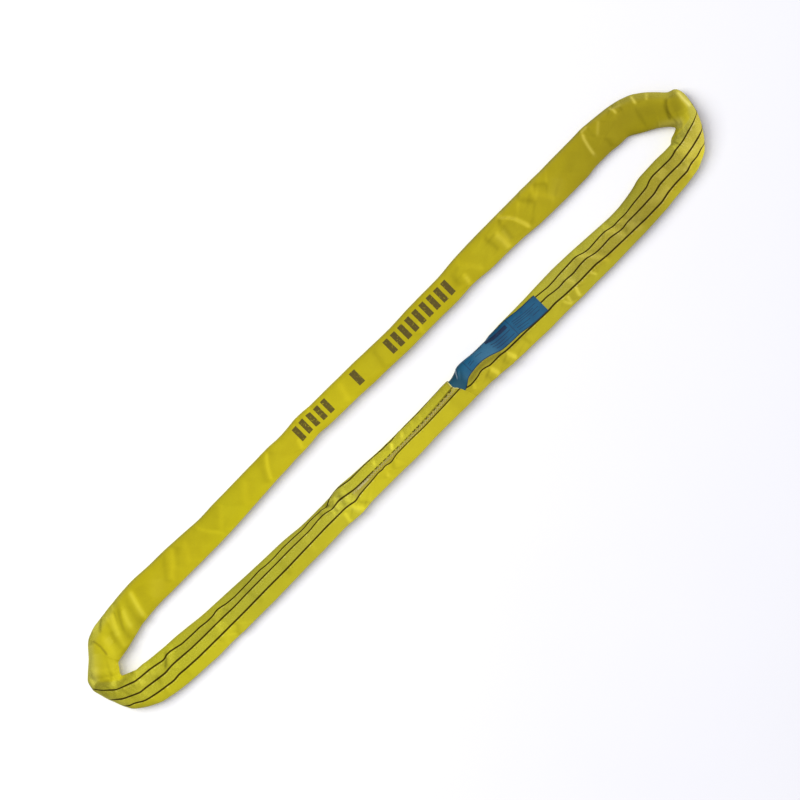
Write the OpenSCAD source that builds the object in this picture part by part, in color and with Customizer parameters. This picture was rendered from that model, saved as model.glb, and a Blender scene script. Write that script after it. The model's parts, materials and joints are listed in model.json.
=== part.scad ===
/* [Sling] */
// Overall length of the laid-out loop, tip to tip
reach = 1490; // [1400:10:1700]
// Thickness factor of the lying sleeve (1 = as laid out)
plump = 1.0; // [0.9:0.05:1.2]

/* [Sleeve] */
// Wall thickness of the woven sleeve
sleeve_t = 1.4; // [1.0:0.1:1.6]
// Room between the two sleeve ends in the lap, all round
lap_gap = 1.2; // [1.0:0.1:1.4]
// Width of the dark marker stripes
stripe_w = 2.2; // [1.4:0.2:3.0]
// How far the marker stripes stand proud of the weave on top
stripe_h = 0.3; // [0.2:0.05:0.4]

/* [Core] */
// Turns of yarn in the hank, one rib of its outline each
turns = 12; // [11:1:14]
// Width of the hank as a share of the room inside the sleeve
core_fill = 0.8; // [0.6:0.05:0.85]

/* [Seam] */
// Length of one zigzag of the closing seam
stitch_pitch = 10; // [8:1:16]
// Thickness of the sewing thread
thread_d = 0.9; // [0.6:0.1:1.2]

/* [Label] */
// Thickness of the label strip
label_t = 0.6; // [0.4:0.1:0.6]

/* [Fold] */
// Distance of each fold line from the middle
fold_x = 385; // [385:5:420]

/* [Hidden] */

pts_n = 20;          // points round the sleeve's outline
cut = 0.15;          // half of the gap at each fold line
lap_x0 = -200;       // where the tucked sleeve end stops
lap_x1 = 90;         // where the lapping sleeve end stops
y_mid = 2;           // shifts the outline's middle to y = 0
grow = (reach - 1490) / 2;

function stretch(x) = x + grow * max(-1, min(1, x / 380));

// Stations: [x, y, heading, half width, half thickness, angle of the first stripe, spread of the stripes]
// The heading is the travel direction: 0 on the seam leg, 180 on the plain leg.
// The stripe angle runs round the outline: 0 inner edge, 90 top, 180 outer edge, 270 underneath.
SEAM = [
  [-600, -57.0, 0, 39.0, 10.5, 46, 66], [-540, -61.0, 0, 38.0, 10.0, 47, 62], [-480, -64.0, 0, 36.0, 10.0, 50, 58],
  [-420, -66.0, 0, 34.0, 10.5, 46, 56], [-360, -66.0, 0, 33.0, 11.0, 43, 54], [-300, -67.0, 0, 31.5, 11.5, 38, 60],
  [-240, -68.0, 0, 30.0, 12.0, 30, 64], [-200, -68.0, 0, 30.5, 12.5, 22, 75], [-170, -68.0, 0, 31.5, 13.0, 16, 78],
  [-120, -69.0, 0, 29.0, 13.0, 17, 70], [-60, -70.0, 0, 28.0, 13.0, 17, 68], [0, -70.0, 0, 28.0, 13.0, 17, 68],
  [60, -69.0, 0, 28.5, 13.0, 16, 69], [90, -69.0, 0, 28.5, 12.8, 17, 69], [112, -69.0, 0, 28.5, 12.5, 38, 62], [160, -70.0, 0, 29.5, 12.5, 38, 62],
  [210, -70.0, 0, 32.0, 12.0, 42, 62], [260, -70.0, 0, 34.0, 11.0, 44, 62], [320, -68.5, 0, 36.0, 10.5, 46, 62],
  [380, -68.5, 0, 36.0, 10.0, 46, 62], [440, -69.0, 0, 35.0, 10.0, 50, 58], [500, -70.5, 0, 32.5, 11.0, 55, 60],
  [550, -67.0, 0, 34.0, 11.0, 55, 60], [600, -61.5, 0, 37.0, 11.0, 54, 64]];
RIGHT = [
  [647, -57.5, 6, 35.0, 12.0, 58, 66], [675, -51.0, 20, 31.0, 14.0, 64, 74], [694, -37.5, 38, 27.0, 16.5, 84, 90],
  [712, -17.5, 72, 24.5, 18.0, 138, 80], [717, 2.0, 100, 27.5, 18.5, 185, 66], [712, 17.0, 116, 31.0, 18.0, 212, 62],
  [697, 29.0, 127, 32.0, 17.0, 222, 62], [680, 43.0, 134, 34.0, 15.0, 226, 62], [659, 57.0, 145, 36.0, 13.5, 226, 62],
  [635, 67.5, 157, 33.5, 12.0, 226, 62]];
PLAIN = [
  [600, 73.0, 180, 33.0, 11.0, 226, 62], [550, 75.0, 180, 33.5, 10.5, 226, 62], [500, 73.5, 180, 34.0, 10.0, 226, 62],
  [440, 74.0, 180, 34.0, 10.0, 226, 62], [380, 74.5, 180, 33.0, 10.0, 226, 62], [320, 76.0, 180, 31.0, 10.5, 226, 62],
  [280, 76.0, 180, 30.5, 11.0, 226, 62], [240, 77.0, 180, 27.5, 11.5, 226, 62], [200, 74.0, 180, 26.5, 12.0, 226, 62],
  [140, 73.0, 180, 26.0, 12.5, 226, 62], [80, 72.5, 180, 26.0, 12.5, 226, 62], [20, 74.5, 180, 26.0, 12.5, 226, 62],
  [-40, 76.0, 180, 25.5, 12.5, 226, 62], [-100, 76.5, 180, 25.0, 12.5, 226, 62], [-140, 79.0, 180, 24.5, 12.5, 226, 62],
  [-180, 76.5, 180, 25.0, 12.5, 226, 62], [-240, 75.5, 180, 26.0, 12.0, 226, 62], [-300, 73.5, 180, 28.5, 11.5, 226, 62],
  [-360, 71.5, 180, 28.5, 11.0, 226, 62], [-420, 70.5, 180, 30.0, 10.5, 226, 62], [-480, 72.0, 180, 31.5, 10.0, 226, 62],
  [-540, 73.0, 180, 33.0, 10.0, 226, 62], [-600, 69.5, 180, 34.0, 10.5, 226, 62]];
LEFT = [
  [-648, 60.5, 192, 36.0, 12.0, 226, 62], [-676, 53.0, 202, 34.5, 14.0, 226, 62], [-697, 38.5, 216, 31.0, 16.5, 220, 62],
  [-713, 18.5, 238, 29.0, 18.0, 190, 66], [-718, 0.0, 264, 26.2, 18.5, 120, 80], [-710, -16.0, 292, 27.0, 18.0, 94, 80],
  [-695, -33.0, 316, 31.0, 16.5, 70, 70], [-675, -46.0, 336, 35.0, 14.0, 58, 66], [-643, -52.0, 350, 38.0, 12.0, 52, 66]];

function mix(p, q, t) = [for (i = [0:len(p) - 1]) p[i] + (q[i] - p[i]) * t];
function placed(r) = [stretch(r[0]), r[1] - y_mid, r[2], r[3], r[4] * plump, r[5], r[6]];
// The station at x on a leg, between its two neighbours
function at(leg, x, i = 0) =
  let (a = leg[i], b = leg[i + 1])
  (x - a[0]) * (x - b[0]) <= 0 ? mix(a, b, (x - a[0]) / (b[0] - a[0])) : at(leg, x, i + 1);
// A leg's stations from x0 to x1, with one at each end
function run(leg, x0, x1) = concat(
  [at(leg, x0)],
  [for (r = leg) if ((r[0] - x0) * (r[0] - x1) < -4 && abs(r[0] - x0) > 2 && abs(r[0] - x1) > 2) r],
  [at(leg, x1)]);

// A point on the outline of station r, drawn in from the surface by d; f scales the bottom's flattening
function spot(r, th, d = 0) =
  let (h = r[2] - 90, l = -(r[3] - d) * cos(th),
       z = sin(th) >= 0 ? r[4] + (r[4] - d) * sin(th) : max(d, 0, r[4] + (r[4] - d) * 1.25 * sin(th)))
  [r[0] + l * cos(h), r[1] + l * sin(h), z];
function ring(r, d) = [for (k = [0:pts_n - 1]) spot(r, 360 * k / pts_n, d)];

// The hank's ribbed outline, in a sleeve whose inner face is drawn in by d
function hank(r, d) =
  let (h = r[2] - 90, a = (r[3] - d) * core_fill, b = (r[4] - d) * 0.75, zc = d + 2.0 + b)
  [for (k = [0:2 * turns - 1])
    let (th = 180 * k / turns, f = k % 2 == 0 ? 1 : 0.9, l = -a * f * cos(th))
    [r[0] + l * cos(h), r[1] + l * sin(h), zc + b * f * sin(th)]];

// Skin between rings of n points each
function skin(m, n, o = 0, flip = false) =
  [for (i = [0:m - 2], k = [0:n - 1])
    let (a = o + i * n + k, b = o + i * n + (k + 1) % n, c = b + n, d = a + n)
    flip ? [a, b, c, d] : [d, c, b, a]];
// The same in triangles, for thin strips whose rings turn against each other
function fine_skin(m, n) =
  [for (i = [0:m - 2], k = [0:n - 1])
    let (a = i * n + k, b = i * n + (k + 1) % n, c = b + n, d = a + n)
    each [[c, b, a], [d, c, a]]];
module solid_run(rings) {
  m = len(rings); n = len(rings[0]);
  polyhedron(points = [for (r = rings) for (p = r) p],
    faces = concat(skin(m, n), [[for (k = [0:n - 1]) k]], [[for (k = [0:n - 1]) m * n - 1 - k]]), convexity = 6);
}
// A thin strip: rings of n points, the first half along one face and the second half back along the other
module strip_run(rings) {
  m = len(rings); n = len(rings[0]); e = (m - 1) * n;
  polyhedron(points = [for (r = rings) for (p = r) p],
    faces = concat(fine_skin(m, n),
      [for (k = [0:n / 2 - 2]) each [[k, k + 1, n - 2 - k], [k, n - 2 - k, n - 1 - k]]],
      [for (k = [0:n / 2 - 2]) each [[e + n - 2 - k, e + k + 1, e + k], [e + n - 1 - k, e + n - 2 - k, e + k]]]), convexity = 6);
}
module tube_run(outer, inner) {
  m = len(outer); n = len(outer[0]); o = m * n;
  polyhedron(points = concat([for (r = outer) for (p = r) p], [for (r = inner) for (p = r) p]),
    faces = concat(skin(m, n), skin(m, n, o, true),
      [for (k = [0:n - 1]) let (j = (k + 1) % n) [k, j, o + j, o + k]],
      [for (k = [0:n - 1]) let (j = (k + 1) % n, e = (m - 1) * n) [o + e + k, o + e + j, e + j, e + k]]), convexity = 8);
}
module sleeve_tube(rows, d = 0, dd = 0) {
  rs = [for (r = rows) placed(r)];
  tube_run([for (r = rs) ring(r, d)], [for (r = rs) ring(r, d + sleeve_t)]);
}

// Room taken from the outline by the lap on the seam leg
function lap_in(x) = x < -230 ? 0 : x < lap_x0 ? (sleeve_t + lap_gap) * (x + 230) / (lap_x0 + 230)
  : x < 94 ? sleeve_t + lap_gap : x < 112 ? (sleeve_t + lap_gap) * (112 - x) / 18 : 0;

left_rows = concat([for (r = run(PLAIN, -fold_x - cut, -600)) r], LEFT, run(SEAM, -600, -fold_x - cut));
right_rows = concat(run(SEAM, fold_x + cut, 600), RIGHT, run(PLAIN, 600, fold_x + cut));
plain_rows = run(PLAIN, fold_x - cut, -fold_x + cut);
outer_rows = run(SEAM, -fold_x + cut, lap_x1);
seam_rows = concat(run(SEAM, -fold_x + cut, lap_x0 - 30), run(SEAM, lap_x0, 94), run(SEAM, 112, fold_x - cut));
tucked_rows = concat(run(SEAM, lap_x0, 94), run(SEAM, 112, fold_x - cut));

module hank_run(rows, lapped = false) {
  rs = [for (r = rows) placed(r)];
  solid_run([for (i = [0:len(rs) - 1]) hank(rs[i], sleeve_t + (lapped ? lap_in(rows[i][0]) : 0))]);
}

// One marker stripe along rows: a flat ribbon let into the weave
module stripe(rows, share, lapped = false) {
  rs = [for (r = rows) placed(r)];
  strip_run([for (i = [0:len(rs) - 1])
    let (r = rs[i], th = r[5] + r[6] * share, a = r[3], b = r[4],
         rate = max(0.25, sqrt(pow(a * sin(th), 2) + pow(b * cos(th), 2)) * PI / 180), w = stripe_w / 2 / rate,
         up = stripe_h * 0.3 + stripe_h * 0.7 * sin(th) + (sin(th) < -0.2 ? -0.15 : 0))
    [spot(r, th - w, -up), spot(r, th + w, -up), spot(r, th + w, 0.55 - up), spot(r, th - w, 0.55 - up)]]);
}
module stripes(rows) for (share = [0, 0.45, 1]) stripe(rows, share);

// Height of the lap's top at a place on the seam leg, d above or below the outer face
function top_z(x, y, d) =
  let (r = placed(at(SEAM, x)), q = min(0.96, abs(y - r[1]) / (r[3] + d)))
  r[4] + (r[4] + d) * sqrt(1 - q * q);

// A sewing thread through points, square in section
module thread(points) {
  n = len(points);
  rings = [for (i = [0:n - 1])
    let (p = points[i], q = points[min(i + 1, n - 1)], o = points[max(i - 1, 0)], v = q - o,
         l = sqrt(v[0] * v[0] + v[1] * v[1]), s = [-v[1] / l, v[0] / l, 0] * thread_d / 2, u = [0, 0, thread_d / 2])
    [p - s - u, p - s + u, p + s + u, p + s - u]];
  solid_run(rings);
}

// Label strip: cross lines of [x, y outer edge, y inner edge, drop of the inner edge below the crown]
LABEL = [
  [99.4, -77, -43, 1.0], [112, -74, -39, 3.0], [124, -66, -34, 7.0], [150, -62, -34, 9.0], [176, -67, -37, 7.0],
  [200, -74, -40, 4.5], [232.8, -76, -40, 3.0], [233.2, -76, -40, 3.0], [265, -78, -41, 2.5], [302, -80, -42, 2.5]];
function label_row(r) =
  let (yo = r[1] - y_mid, yi = r[2] - y_mid, s = placed(at(SEAM, max(112, r[0]))), crown = 2 * s[4] + 0.5)
  concat(
    [for (k = [0:5]) let (y = yo + (yi - yo) * k / 5, e = pow(k / 5, 4) * r[3],
      z = min(crown, 0.5 + top_z(max(112, r[0]), y, 0.25)) - (k == 5 ? 0.0 : 0)) [r[0], y, max(z, crown - r[3]) ]],
    [for (k = [5:-1:0]) let (y = yo + (yi - yo) * k / 5,
      z = min(crown, 0.5 + top_z(max(112, r[0]), y, 0.25))) [r[0], y, max(z, crown - r[3]) + label_t]]);
module label_piece(i0, i1) strip_run([for (i = [i0:i1]) label_row(LABEL[i])]);

module sleeve_plain_leg() color("gold") sleeve_tube(plain_rows);
module sleeve_outer_end() color("gold") sleeve_tube(outer_rows);
module sleeve_inner_end() color("goldenrod") {
  rs = [for (r = tucked_rows) placed(r)];
  tube_run([for (i = [0:len(rs) - 1]) ring(rs[i], lap_in(tucked_rows[i][0]))],
           [for (i = [0:len(rs) - 1]) ring(rs[i], lap_in(tucked_rows[i][0]) + sleeve_t)]);
}
module sleeve_left_eye() color("gold") sleeve_tube(left_rows);
module sleeve_right_eye() color("gold") sleeve_tube(right_rows);
module core_legs() color("ivory") { hank_run(plain_rows); hank_run(seam_rows, true); }
module core_left_eye() color("ivory") hank_run(left_rows);
module core_right_eye() color("ivory") hank_run(right_rows);
// Outline of the tape round the hank in the lap, e outside the hank
function band(r, e) =
  let (d = 2 * sleeve_t + lap_gap, a = (r[3] - d) * core_fill + e, b0 = (r[4] - d) * 0.75, zc = d + 2.0 + b0)
  [for (k = [0:pts_n - 1]) let (th = 360 * k / pts_n) [r[0], r[1] + a * cos(th), zc + (b0 + e) * sin(th)]];
module core_join_tape() color("white") {
  rs = [for (x = [-90, -75, -60, -45]) placed(at(SEAM, x))];
  tube_run([for (r = rs) band(r, 1.5)], [for (r = rs) band(r, 0.7)]);
}
module stripes_legs() color("#3c3005") {
  stripes(plain_rows);
  stripes(outer_rows);
  stripes(run(SEAM, 112, fold_x - cut));
}
module stripes_left_eye() color("#3c3005") stripes(left_rows);
module stripes_right_eye() color("#3c3005") stripes(right_rows);
module seam_zigzag_thread() color("#3c3005")
  thread([for (i = [0:floor(248 / stitch_pitch * 2)])
    let (x = -164 + i * stitch_pitch / 2, y = (i % 2 == 0 ? -59.0 : -61.2) - y_mid)
    [stretch(x), y, top_z(x, y, 0.1) + thread_d / 2]]);
module seam_light_thread() color("tan")
  for (y0 = [-62.6, -64.4])
    thread([for (x = [-176:26:84]) let (y = y0 - y_mid) [stretch(x), y, top_z(x, y, 0.1) + thread_d / 2]]);
module lap_hem() color("khaki") {
  rs = [for (x = [lap_x1 + 0.05, lap_x1 + 1.5]) placed(at(SEAM, x))];
  tube_run([for (r = rs) ring(r, -0.3)], [for (r = rs) ring(r, 1.0)]);
}
module label_root() color("steelblue") {
  rs = [for (x = [64, 76, 88, 93]) at(SEAM, x)];
  strip_run(concat(
    [for (r = rs) let (p = placed(r)) concat(
      [for (k = [0:5]) let (y = p[1] - 12 + 24 * k / 5) [p[0], y, top_z(r[0], y, -(sleeve_t + lap_gap) + 0.3)]],
      [for (k = [5:-1:0]) let (y = p[1] - 12 + 24 * k / 5) [p[0], y, top_z(r[0], y, -(sleeve_t + lap_gap) + 0.3) + label_t * 0.8]])],
    [let (l = label_row([99.0, -77, -43, 1.0])) l]));
}
module label_lower() color("steelblue") label_piece(0, 6);
module label_upper() color("steelblue") label_piece(7, 9);

sleeve_plain_leg();
sleeve_outer_end();
sleeve_inner_end();
sleeve_left_eye();
sleeve_right_eye();
core_legs();
core_left_eye();
core_right_eye();
core_join_tape();
stripes_legs();
stripes_left_eye();
stripes_right_eye();
seam_zigzag_thread();
seam_light_thread();
lap_hem();
label_root();
label_lower();
label_upper();
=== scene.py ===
"""A round sling lying as a long flat loop: woven sleeve, yarn hank, lap seam and label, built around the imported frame."""
import json
import math

import bpy
import numpy as np
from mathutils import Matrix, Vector
from mathutils.bvhtree import BVHTree

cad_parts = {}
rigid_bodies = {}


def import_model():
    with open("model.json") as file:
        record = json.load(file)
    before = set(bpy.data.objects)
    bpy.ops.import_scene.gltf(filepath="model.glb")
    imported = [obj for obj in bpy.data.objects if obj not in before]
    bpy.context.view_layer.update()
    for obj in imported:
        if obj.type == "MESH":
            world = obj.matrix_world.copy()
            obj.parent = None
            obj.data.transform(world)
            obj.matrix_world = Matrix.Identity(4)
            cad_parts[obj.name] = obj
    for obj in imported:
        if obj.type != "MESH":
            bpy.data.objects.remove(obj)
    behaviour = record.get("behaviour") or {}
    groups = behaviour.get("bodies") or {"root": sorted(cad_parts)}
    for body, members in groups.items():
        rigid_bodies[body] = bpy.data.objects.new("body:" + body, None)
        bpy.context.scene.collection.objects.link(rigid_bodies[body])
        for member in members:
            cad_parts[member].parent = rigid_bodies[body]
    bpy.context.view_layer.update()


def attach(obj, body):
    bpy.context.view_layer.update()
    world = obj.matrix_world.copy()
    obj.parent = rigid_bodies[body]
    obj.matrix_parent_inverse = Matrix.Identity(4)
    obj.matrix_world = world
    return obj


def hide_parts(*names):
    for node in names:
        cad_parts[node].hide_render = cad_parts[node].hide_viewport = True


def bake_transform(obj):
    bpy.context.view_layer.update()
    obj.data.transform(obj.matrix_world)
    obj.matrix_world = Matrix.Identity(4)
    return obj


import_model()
MM = 0.001

# ------------------------------------------------------------------ camera, floor, light
scene = bpy.context.scene
scene.view_settings.view_transform = "Standard"
scene.view_settings.look = "None"

cam_data = bpy.data.cameras.new("camera")
cam_data.lens = 120
cam_data.sensor_width = 36
cam_data.clip_start, cam_data.clip_end = 0.05, 50
camera = bpy.data.objects.new("camera", cam_data)
scene.collection.objects.link(camera)
camera.location = (0.00426, -0.00626, 0.012 + 1.4184 * 120 / 36)
camera.rotation_euler = (0, 0, math.radians(-45))
scene.camera = camera


def mesh_object(name, verts, faces, smooth=True):
    me = bpy.data.meshes.new(name)
    me.from_pydata([tuple(v) for v in verts], [], [tuple(f) for f in faces])
    me.update()
    ob = bpy.data.objects.new(name, me)
    scene.collection.objects.link(ob)
    if smooth:
        me.polygons.foreach_set("use_smooth", [True] * len(me.polygons))
    return ob


class Nodes:
    """A few short helpers for building a material's node tree."""

    def __init__(self, name):
        self.mat = bpy.data.materials.new(name)
        self.mat.use_nodes = True
        self.t = self.mat.node_tree
        self.t.nodes.clear()
        self.out = self.t.nodes.new("ShaderNodeOutputMaterial")
        self.bsdf = self.t.nodes.new("ShaderNodeBsdfPrincipled")
        self.t.links.new(self.bsdf.outputs[0], self.out.inputs[0])

    def new(self, kind, **props):
        n = self.t.nodes.new(kind)
        for k, v in props.items():
            setattr(n, k, v)
        return n

    def put(self, socket, value):
        if isinstance(value, bpy.types.NodeSocket):
            self.t.links.new(value, socket)
        else:
            socket.default_value = value

    def math(self, op, a, b=None, c=None, clamp=False):
        n = self.new("ShaderNodeMath", operation=op)
        n.use_clamp = clamp
        for s, v in zip(n.inputs, (a, b, c)):
            if v is not None:
                self.put(s, v)
        return n.outputs[0]

    def mix(self, f, a, b, blend="MIX"):
        n = self.new("ShaderNodeMix", data_type="RGBA", blend_type=blend)
        self.put(n.inputs[0], f)
        self.put(n.inputs[6], a)
        self.put(n.inputs[7], b)
        return n.outputs[2]

    def step(self, v, lo, hi, to_lo=0.0, to_hi=1.0):
        n = self.new("ShaderNodeMapRange", interpolation_type="SMOOTHSTEP")
        for s, x in zip(n.inputs, (v, lo, hi, to_lo, to_hi)):
            self.put(s, x)
        return n.outputs[0]

    def noise(self, vec, scale, detail=2.0, rough=0.5, dim="3D"):
        n = self.new("ShaderNodeTexNoise", noise_dimensions=dim)
        self.put(n.inputs["Vector"], vec)
        n.inputs["Scale"].default_value = scale
        n.inputs["Detail"].default_value = detail
        n.inputs["Roughness"].default_value = rough
        return n.outputs[0]

    def set(self, **values):
        for k, v in values.items():
            self.put(self.bsdf.inputs[k.replace("_", " ")], v)

    def bump(self, height, distance, strength=1.0, normal=None):
        n = self.new("ShaderNodeBump")
        n.inputs["Strength"].default_value = strength
        n.inputs["Distance"].default_value = distance
        self.put(n.inputs["Height"], height)
        if normal is not None:
            self.put(n.inputs["Normal"], normal)
        return n.outputs[0]


def rgb(r, g, b):
    """An sRGB colour 0..255 as linear RGBA."""
    f = lambda c: c / 255 / 12.92 if c <= 10 else ((c / 255 + 0.055) / 1.055) ** 2.4
    return (f(r), f(g), f(b), 1.0)


floor = mesh_object("floor", [(-6, -6, 0), (6, -6, 0), (6, 6, 0), (-6, 6, 0)], [(0, 1, 2, 3)], False)
m = Nodes("floor_paper")
tc = m.new("ShaderNodeTexCoord").outputs["Object"]
m.set(Base_Color=m.mix(m.noise(tc, 3.0), (0.93, 0.93, 0.945, 1), (0.95, 0.95, 0.96, 1)), Roughness=0.9)
m.bsdf.inputs["Emission Color"].default_value = (1.0, 1.0, 1.0, 1.0)  # an evenly lit sweep
m.bsdf.inputs["Emission Strength"].default_value = 0.10
floor.data.materials.append(m.mat)

world = bpy.data.worlds.new("studio")
scene.world = world
world.use_nodes = True
world.node_tree.nodes["Background"].inputs[0].default_value = (0.90, 0.90, 1.18, 1)
world.node_tree.nodes["Background"].inputs[1].default_value = 0.30


def area(name, loc, target, size, power, colour=(1, 1, 1)):
    d = bpy.data.lights.new(name, "AREA")
    d.shape = "RECTANGLE"
    d.size, d.size_y = size
    d.energy = power
    d.color = colour
    ob = bpy.data.objects.new(name, d)
    scene.collection.objects.link(ob)
    ob.location = loc
    ob.rotation_euler = (Vector(target) - Vector(loc)).to_track_quat("-Z", "Y").to_euler()
    return ob


# The sling's key comes from the side of +X and -Y and is flagged off the floor. The floor has a light of its
# own from the other side, which gives the soft shadow, and the light overhead falls on both.
key = area("key", (10.2, -3.0, 8.4), (0, 0, 0), (3.4, 3.4), 1820, (1.0, 0.99, 0.94))
floor_light = area("floor_light", (-3.1, 4.4, 5.3), (0, 0, 0), (4.5, 4.5), 452, (1.0, 0.995, 0.93))
area("overhead", (-0.8, 1.6, 7.0), (0, 0, 0), (3.2, 3.2), 128, (1.0, 0.995, 0.97))

# ------------------------------------------------------------------ the loop's outline
# Legs: x, inner edge y, outer edge y. Eyes: inner point, outer point.
# Millimetres in the frame shifted by Y0, in the order in which the loop runs.
Y0 = -2.0
SEAM_LEG = [
    (60, -39.6, -97.8), (40, -40.6, -97.5), (20, -41.3, -97.2), (0, -41.6, -97), (-40, -42.3, -98.5), (-80, -42, -98.2),
    (-100, -41, -98.2), (-120, -39, -98), (-140, -37.8, -97.6), (-160, -36.8, -97.8), (-170, -35.6, -99), (-180, -35, -100),
    (-190, -35.6, -99.9), (-200, -37.6, -99.2), (-210, -38.8, -98), (-220, -39, -97), (-240, -39, -97.5), (-280, -38.5, -98.5),
    (-320, -34.5, -98.5), (-360, -33, -99.5), (-400, -32, -100), (-440, -30, -100), (-480, -28, -100), (-500, -27, -99),
    (-520, -25.5, -99), (-540, -23, -99.5), (-560, -20.8, -98.5), (-580, -19.2, -97)]
LEFT_EYE = [  # inner point, outer point, half thickness
    ((-600, -18.3), (-600, -96.0), 10.5), ((-625, -16.0), (-622, -93.8), 11.2), ((-650, -13.4), (-645, -90.0), 12.2),
    ((-663, -13.2), (-671, -85.2), 14.0), ((-672.4, -7.9), (-697, -71.9), 15.5), ((-680.9, -3.8), (-716.2, -58.2), 17.0),
    ((-686.7, -1.8), (-726, -38.2), 18.0), ((-689.2, -0.2), (-736, -13.6), 18.4), ((-688.6, 4.5), (-743, 13), 18.4),
    ((-683.9, 9.5), (-741.6, 33.6), 18.2), ((-680.2, 15), (-727.6, 46.3), 17.6), ((-676.9, 20), (-708.8, 62.3), 16.6),
    ((-667.4, 22), (-687.6, 86.3), 14.8), ((-650, 24.9), (-664.5, 95.2), 12.6), ((-625, 29.4), (-630, 99.8), 11.2)]
PLAIN_LEG = [
    (-600, 35.8, 103.5), (-580, 37.8, 105.4), (-560, 39.5, 106.4), (-540, 40, 105.6), (-520, 39.5, 104.5), (-480, 40, 104),
    (-440, 39.6, 102), (-400, 39.5, 99.2), (-360, 41.5, 100.8), (-320, 44, 101), (-280, 46.5, 101.8), (-240, 49, 101.5),
    (-220, 49.6, 101.8), (-200, 51, 100.2), (-180, 50.6, 101), (-160, 51.5, 103.2), (-140, 54.2, 103.8), (-120, 52.2, 101.4),
    (-80, 51.5, 101.4), (-40, 50.5, 101), (0, 48, 100.5), (40, 47, 99), (80, 46, 97.6), (120, 46.5, 98), (160, 46.5, 99),
    (200, 46.5, 99.2), (220, 48.2, 102.4), (240, 49, 105), (260, 47.2, 106), (280, 44.8, 106.6), (320, 44.5, 107.4),
    (360, 43.5, 107.5), (400, 40, 107.5), (440, 39, 107.5), (480, 39, 107.6), (520, 39.8, 107.5), (540, 41.8, 107.6),
    (560, 41.6, 108.3), (580, 42.3, 108.2)]
RIGHT_EYE = [
    ((600, 40.2), (600, 106.2), 11.0), ((621, 40.0), (630, 102.8), 11.5), ((640, 28.7), (655, 97.4), 12.6),
    ((655, 20.8), (677, 88.8), 14.0), ((667.5, 14.2), (697.4, 73.4), 15.6), ((676.4, 7.1), (713.5, 57.6), 17.0),
    ((683.4, 1.4), (726.3, 44), 17.8), ((686.5, -2.4), (736.4, 44.4), 18.2), ((689.2, -6), (743.8, 33.4), 18.4),
    ((690.2, -8), (744.8, 17), 18.4), ((689.4, -10.4), (741.2, 2), 18.4), ((684.9, -11.8), (736.8, -16), 18.0),
    ((678.4, -14.5), (729.5, -34), 17.4), ((671.4, -17), (716.2, -55.7), 16.2), ((664, -23.5), (697.8, -75.3), 14.4),
    ((650, -24.0), (668.3, -89.4), 12.6), ((625, -24.4), (632, -94.4), 11.4), ((600, -26.2), (600, -96.8), 11.0)]
SEAM_LEG_2 = [
    (580, -27.6, -99.6), (560, -33.5, -100.6), (540, -37, -101.6), (520, -39, -102.8), (500, -38.8, -102.6), (480, -37.8, -103.6),
    (440, -35.5, -104.4), (400, -33.2, -103.6), (360, -31.8, -104.2), (320, -32.6, -103.8), (302, -33, -104.2),
    (280, -33.7, -104.3), (260, -34.2, -103.8), (240, -34.4, -103.2), (220, -34.6, -102.9), (205, -35.4, -102.6), (190, -37.8, -101.8),
    (180, -39.4, -101.2), (160, -40.5, -99.9), (140, -40.8, -99), (120, -41, -98.6), (105, -41, -98.4),
    (80, -41, -98.2), (40, -41.5, -97.6), (0, -42, -97.2), (-40, -42.4, -98.2), (-100, -41, -98.2), (-150, -38, -97.8),
    (-200, -38, -98.8)]
THICK_SEAM = ([-600, -540, -480, -420, -360, -300, -240, -200, -170, 60, 112, 160, 210, 260, 320, 380, 440, 500, 550, 600],
              [10.5, 10.0, 10.0, 10.5, 11.0, 11.5, 12.0, 12.5, 13.0, 13.0, 12.5, 12.5, 12.0, 11.0, 10.5, 10.0, 10.0, 11.0, 11.0, 11.0])
THICK_PLAIN = ([-600, -540, -480, -420, -360, -300, -240, -180, 140, 200, 240, 280, 320, 380, 500, 550, 600],
               [10.5, 10.0, 10.0, 10.5, 11.0, 11.5, 12.0, 12.5, 12.5, 12.0, 11.5, 11.0, 10.5, 10.0, 10.0, 10.5, 11.0])
LAP_END = ((87.0, -39.4), (104.0, -98.2), 13.0)  # the lapping end's edge runs slantwise

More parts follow.
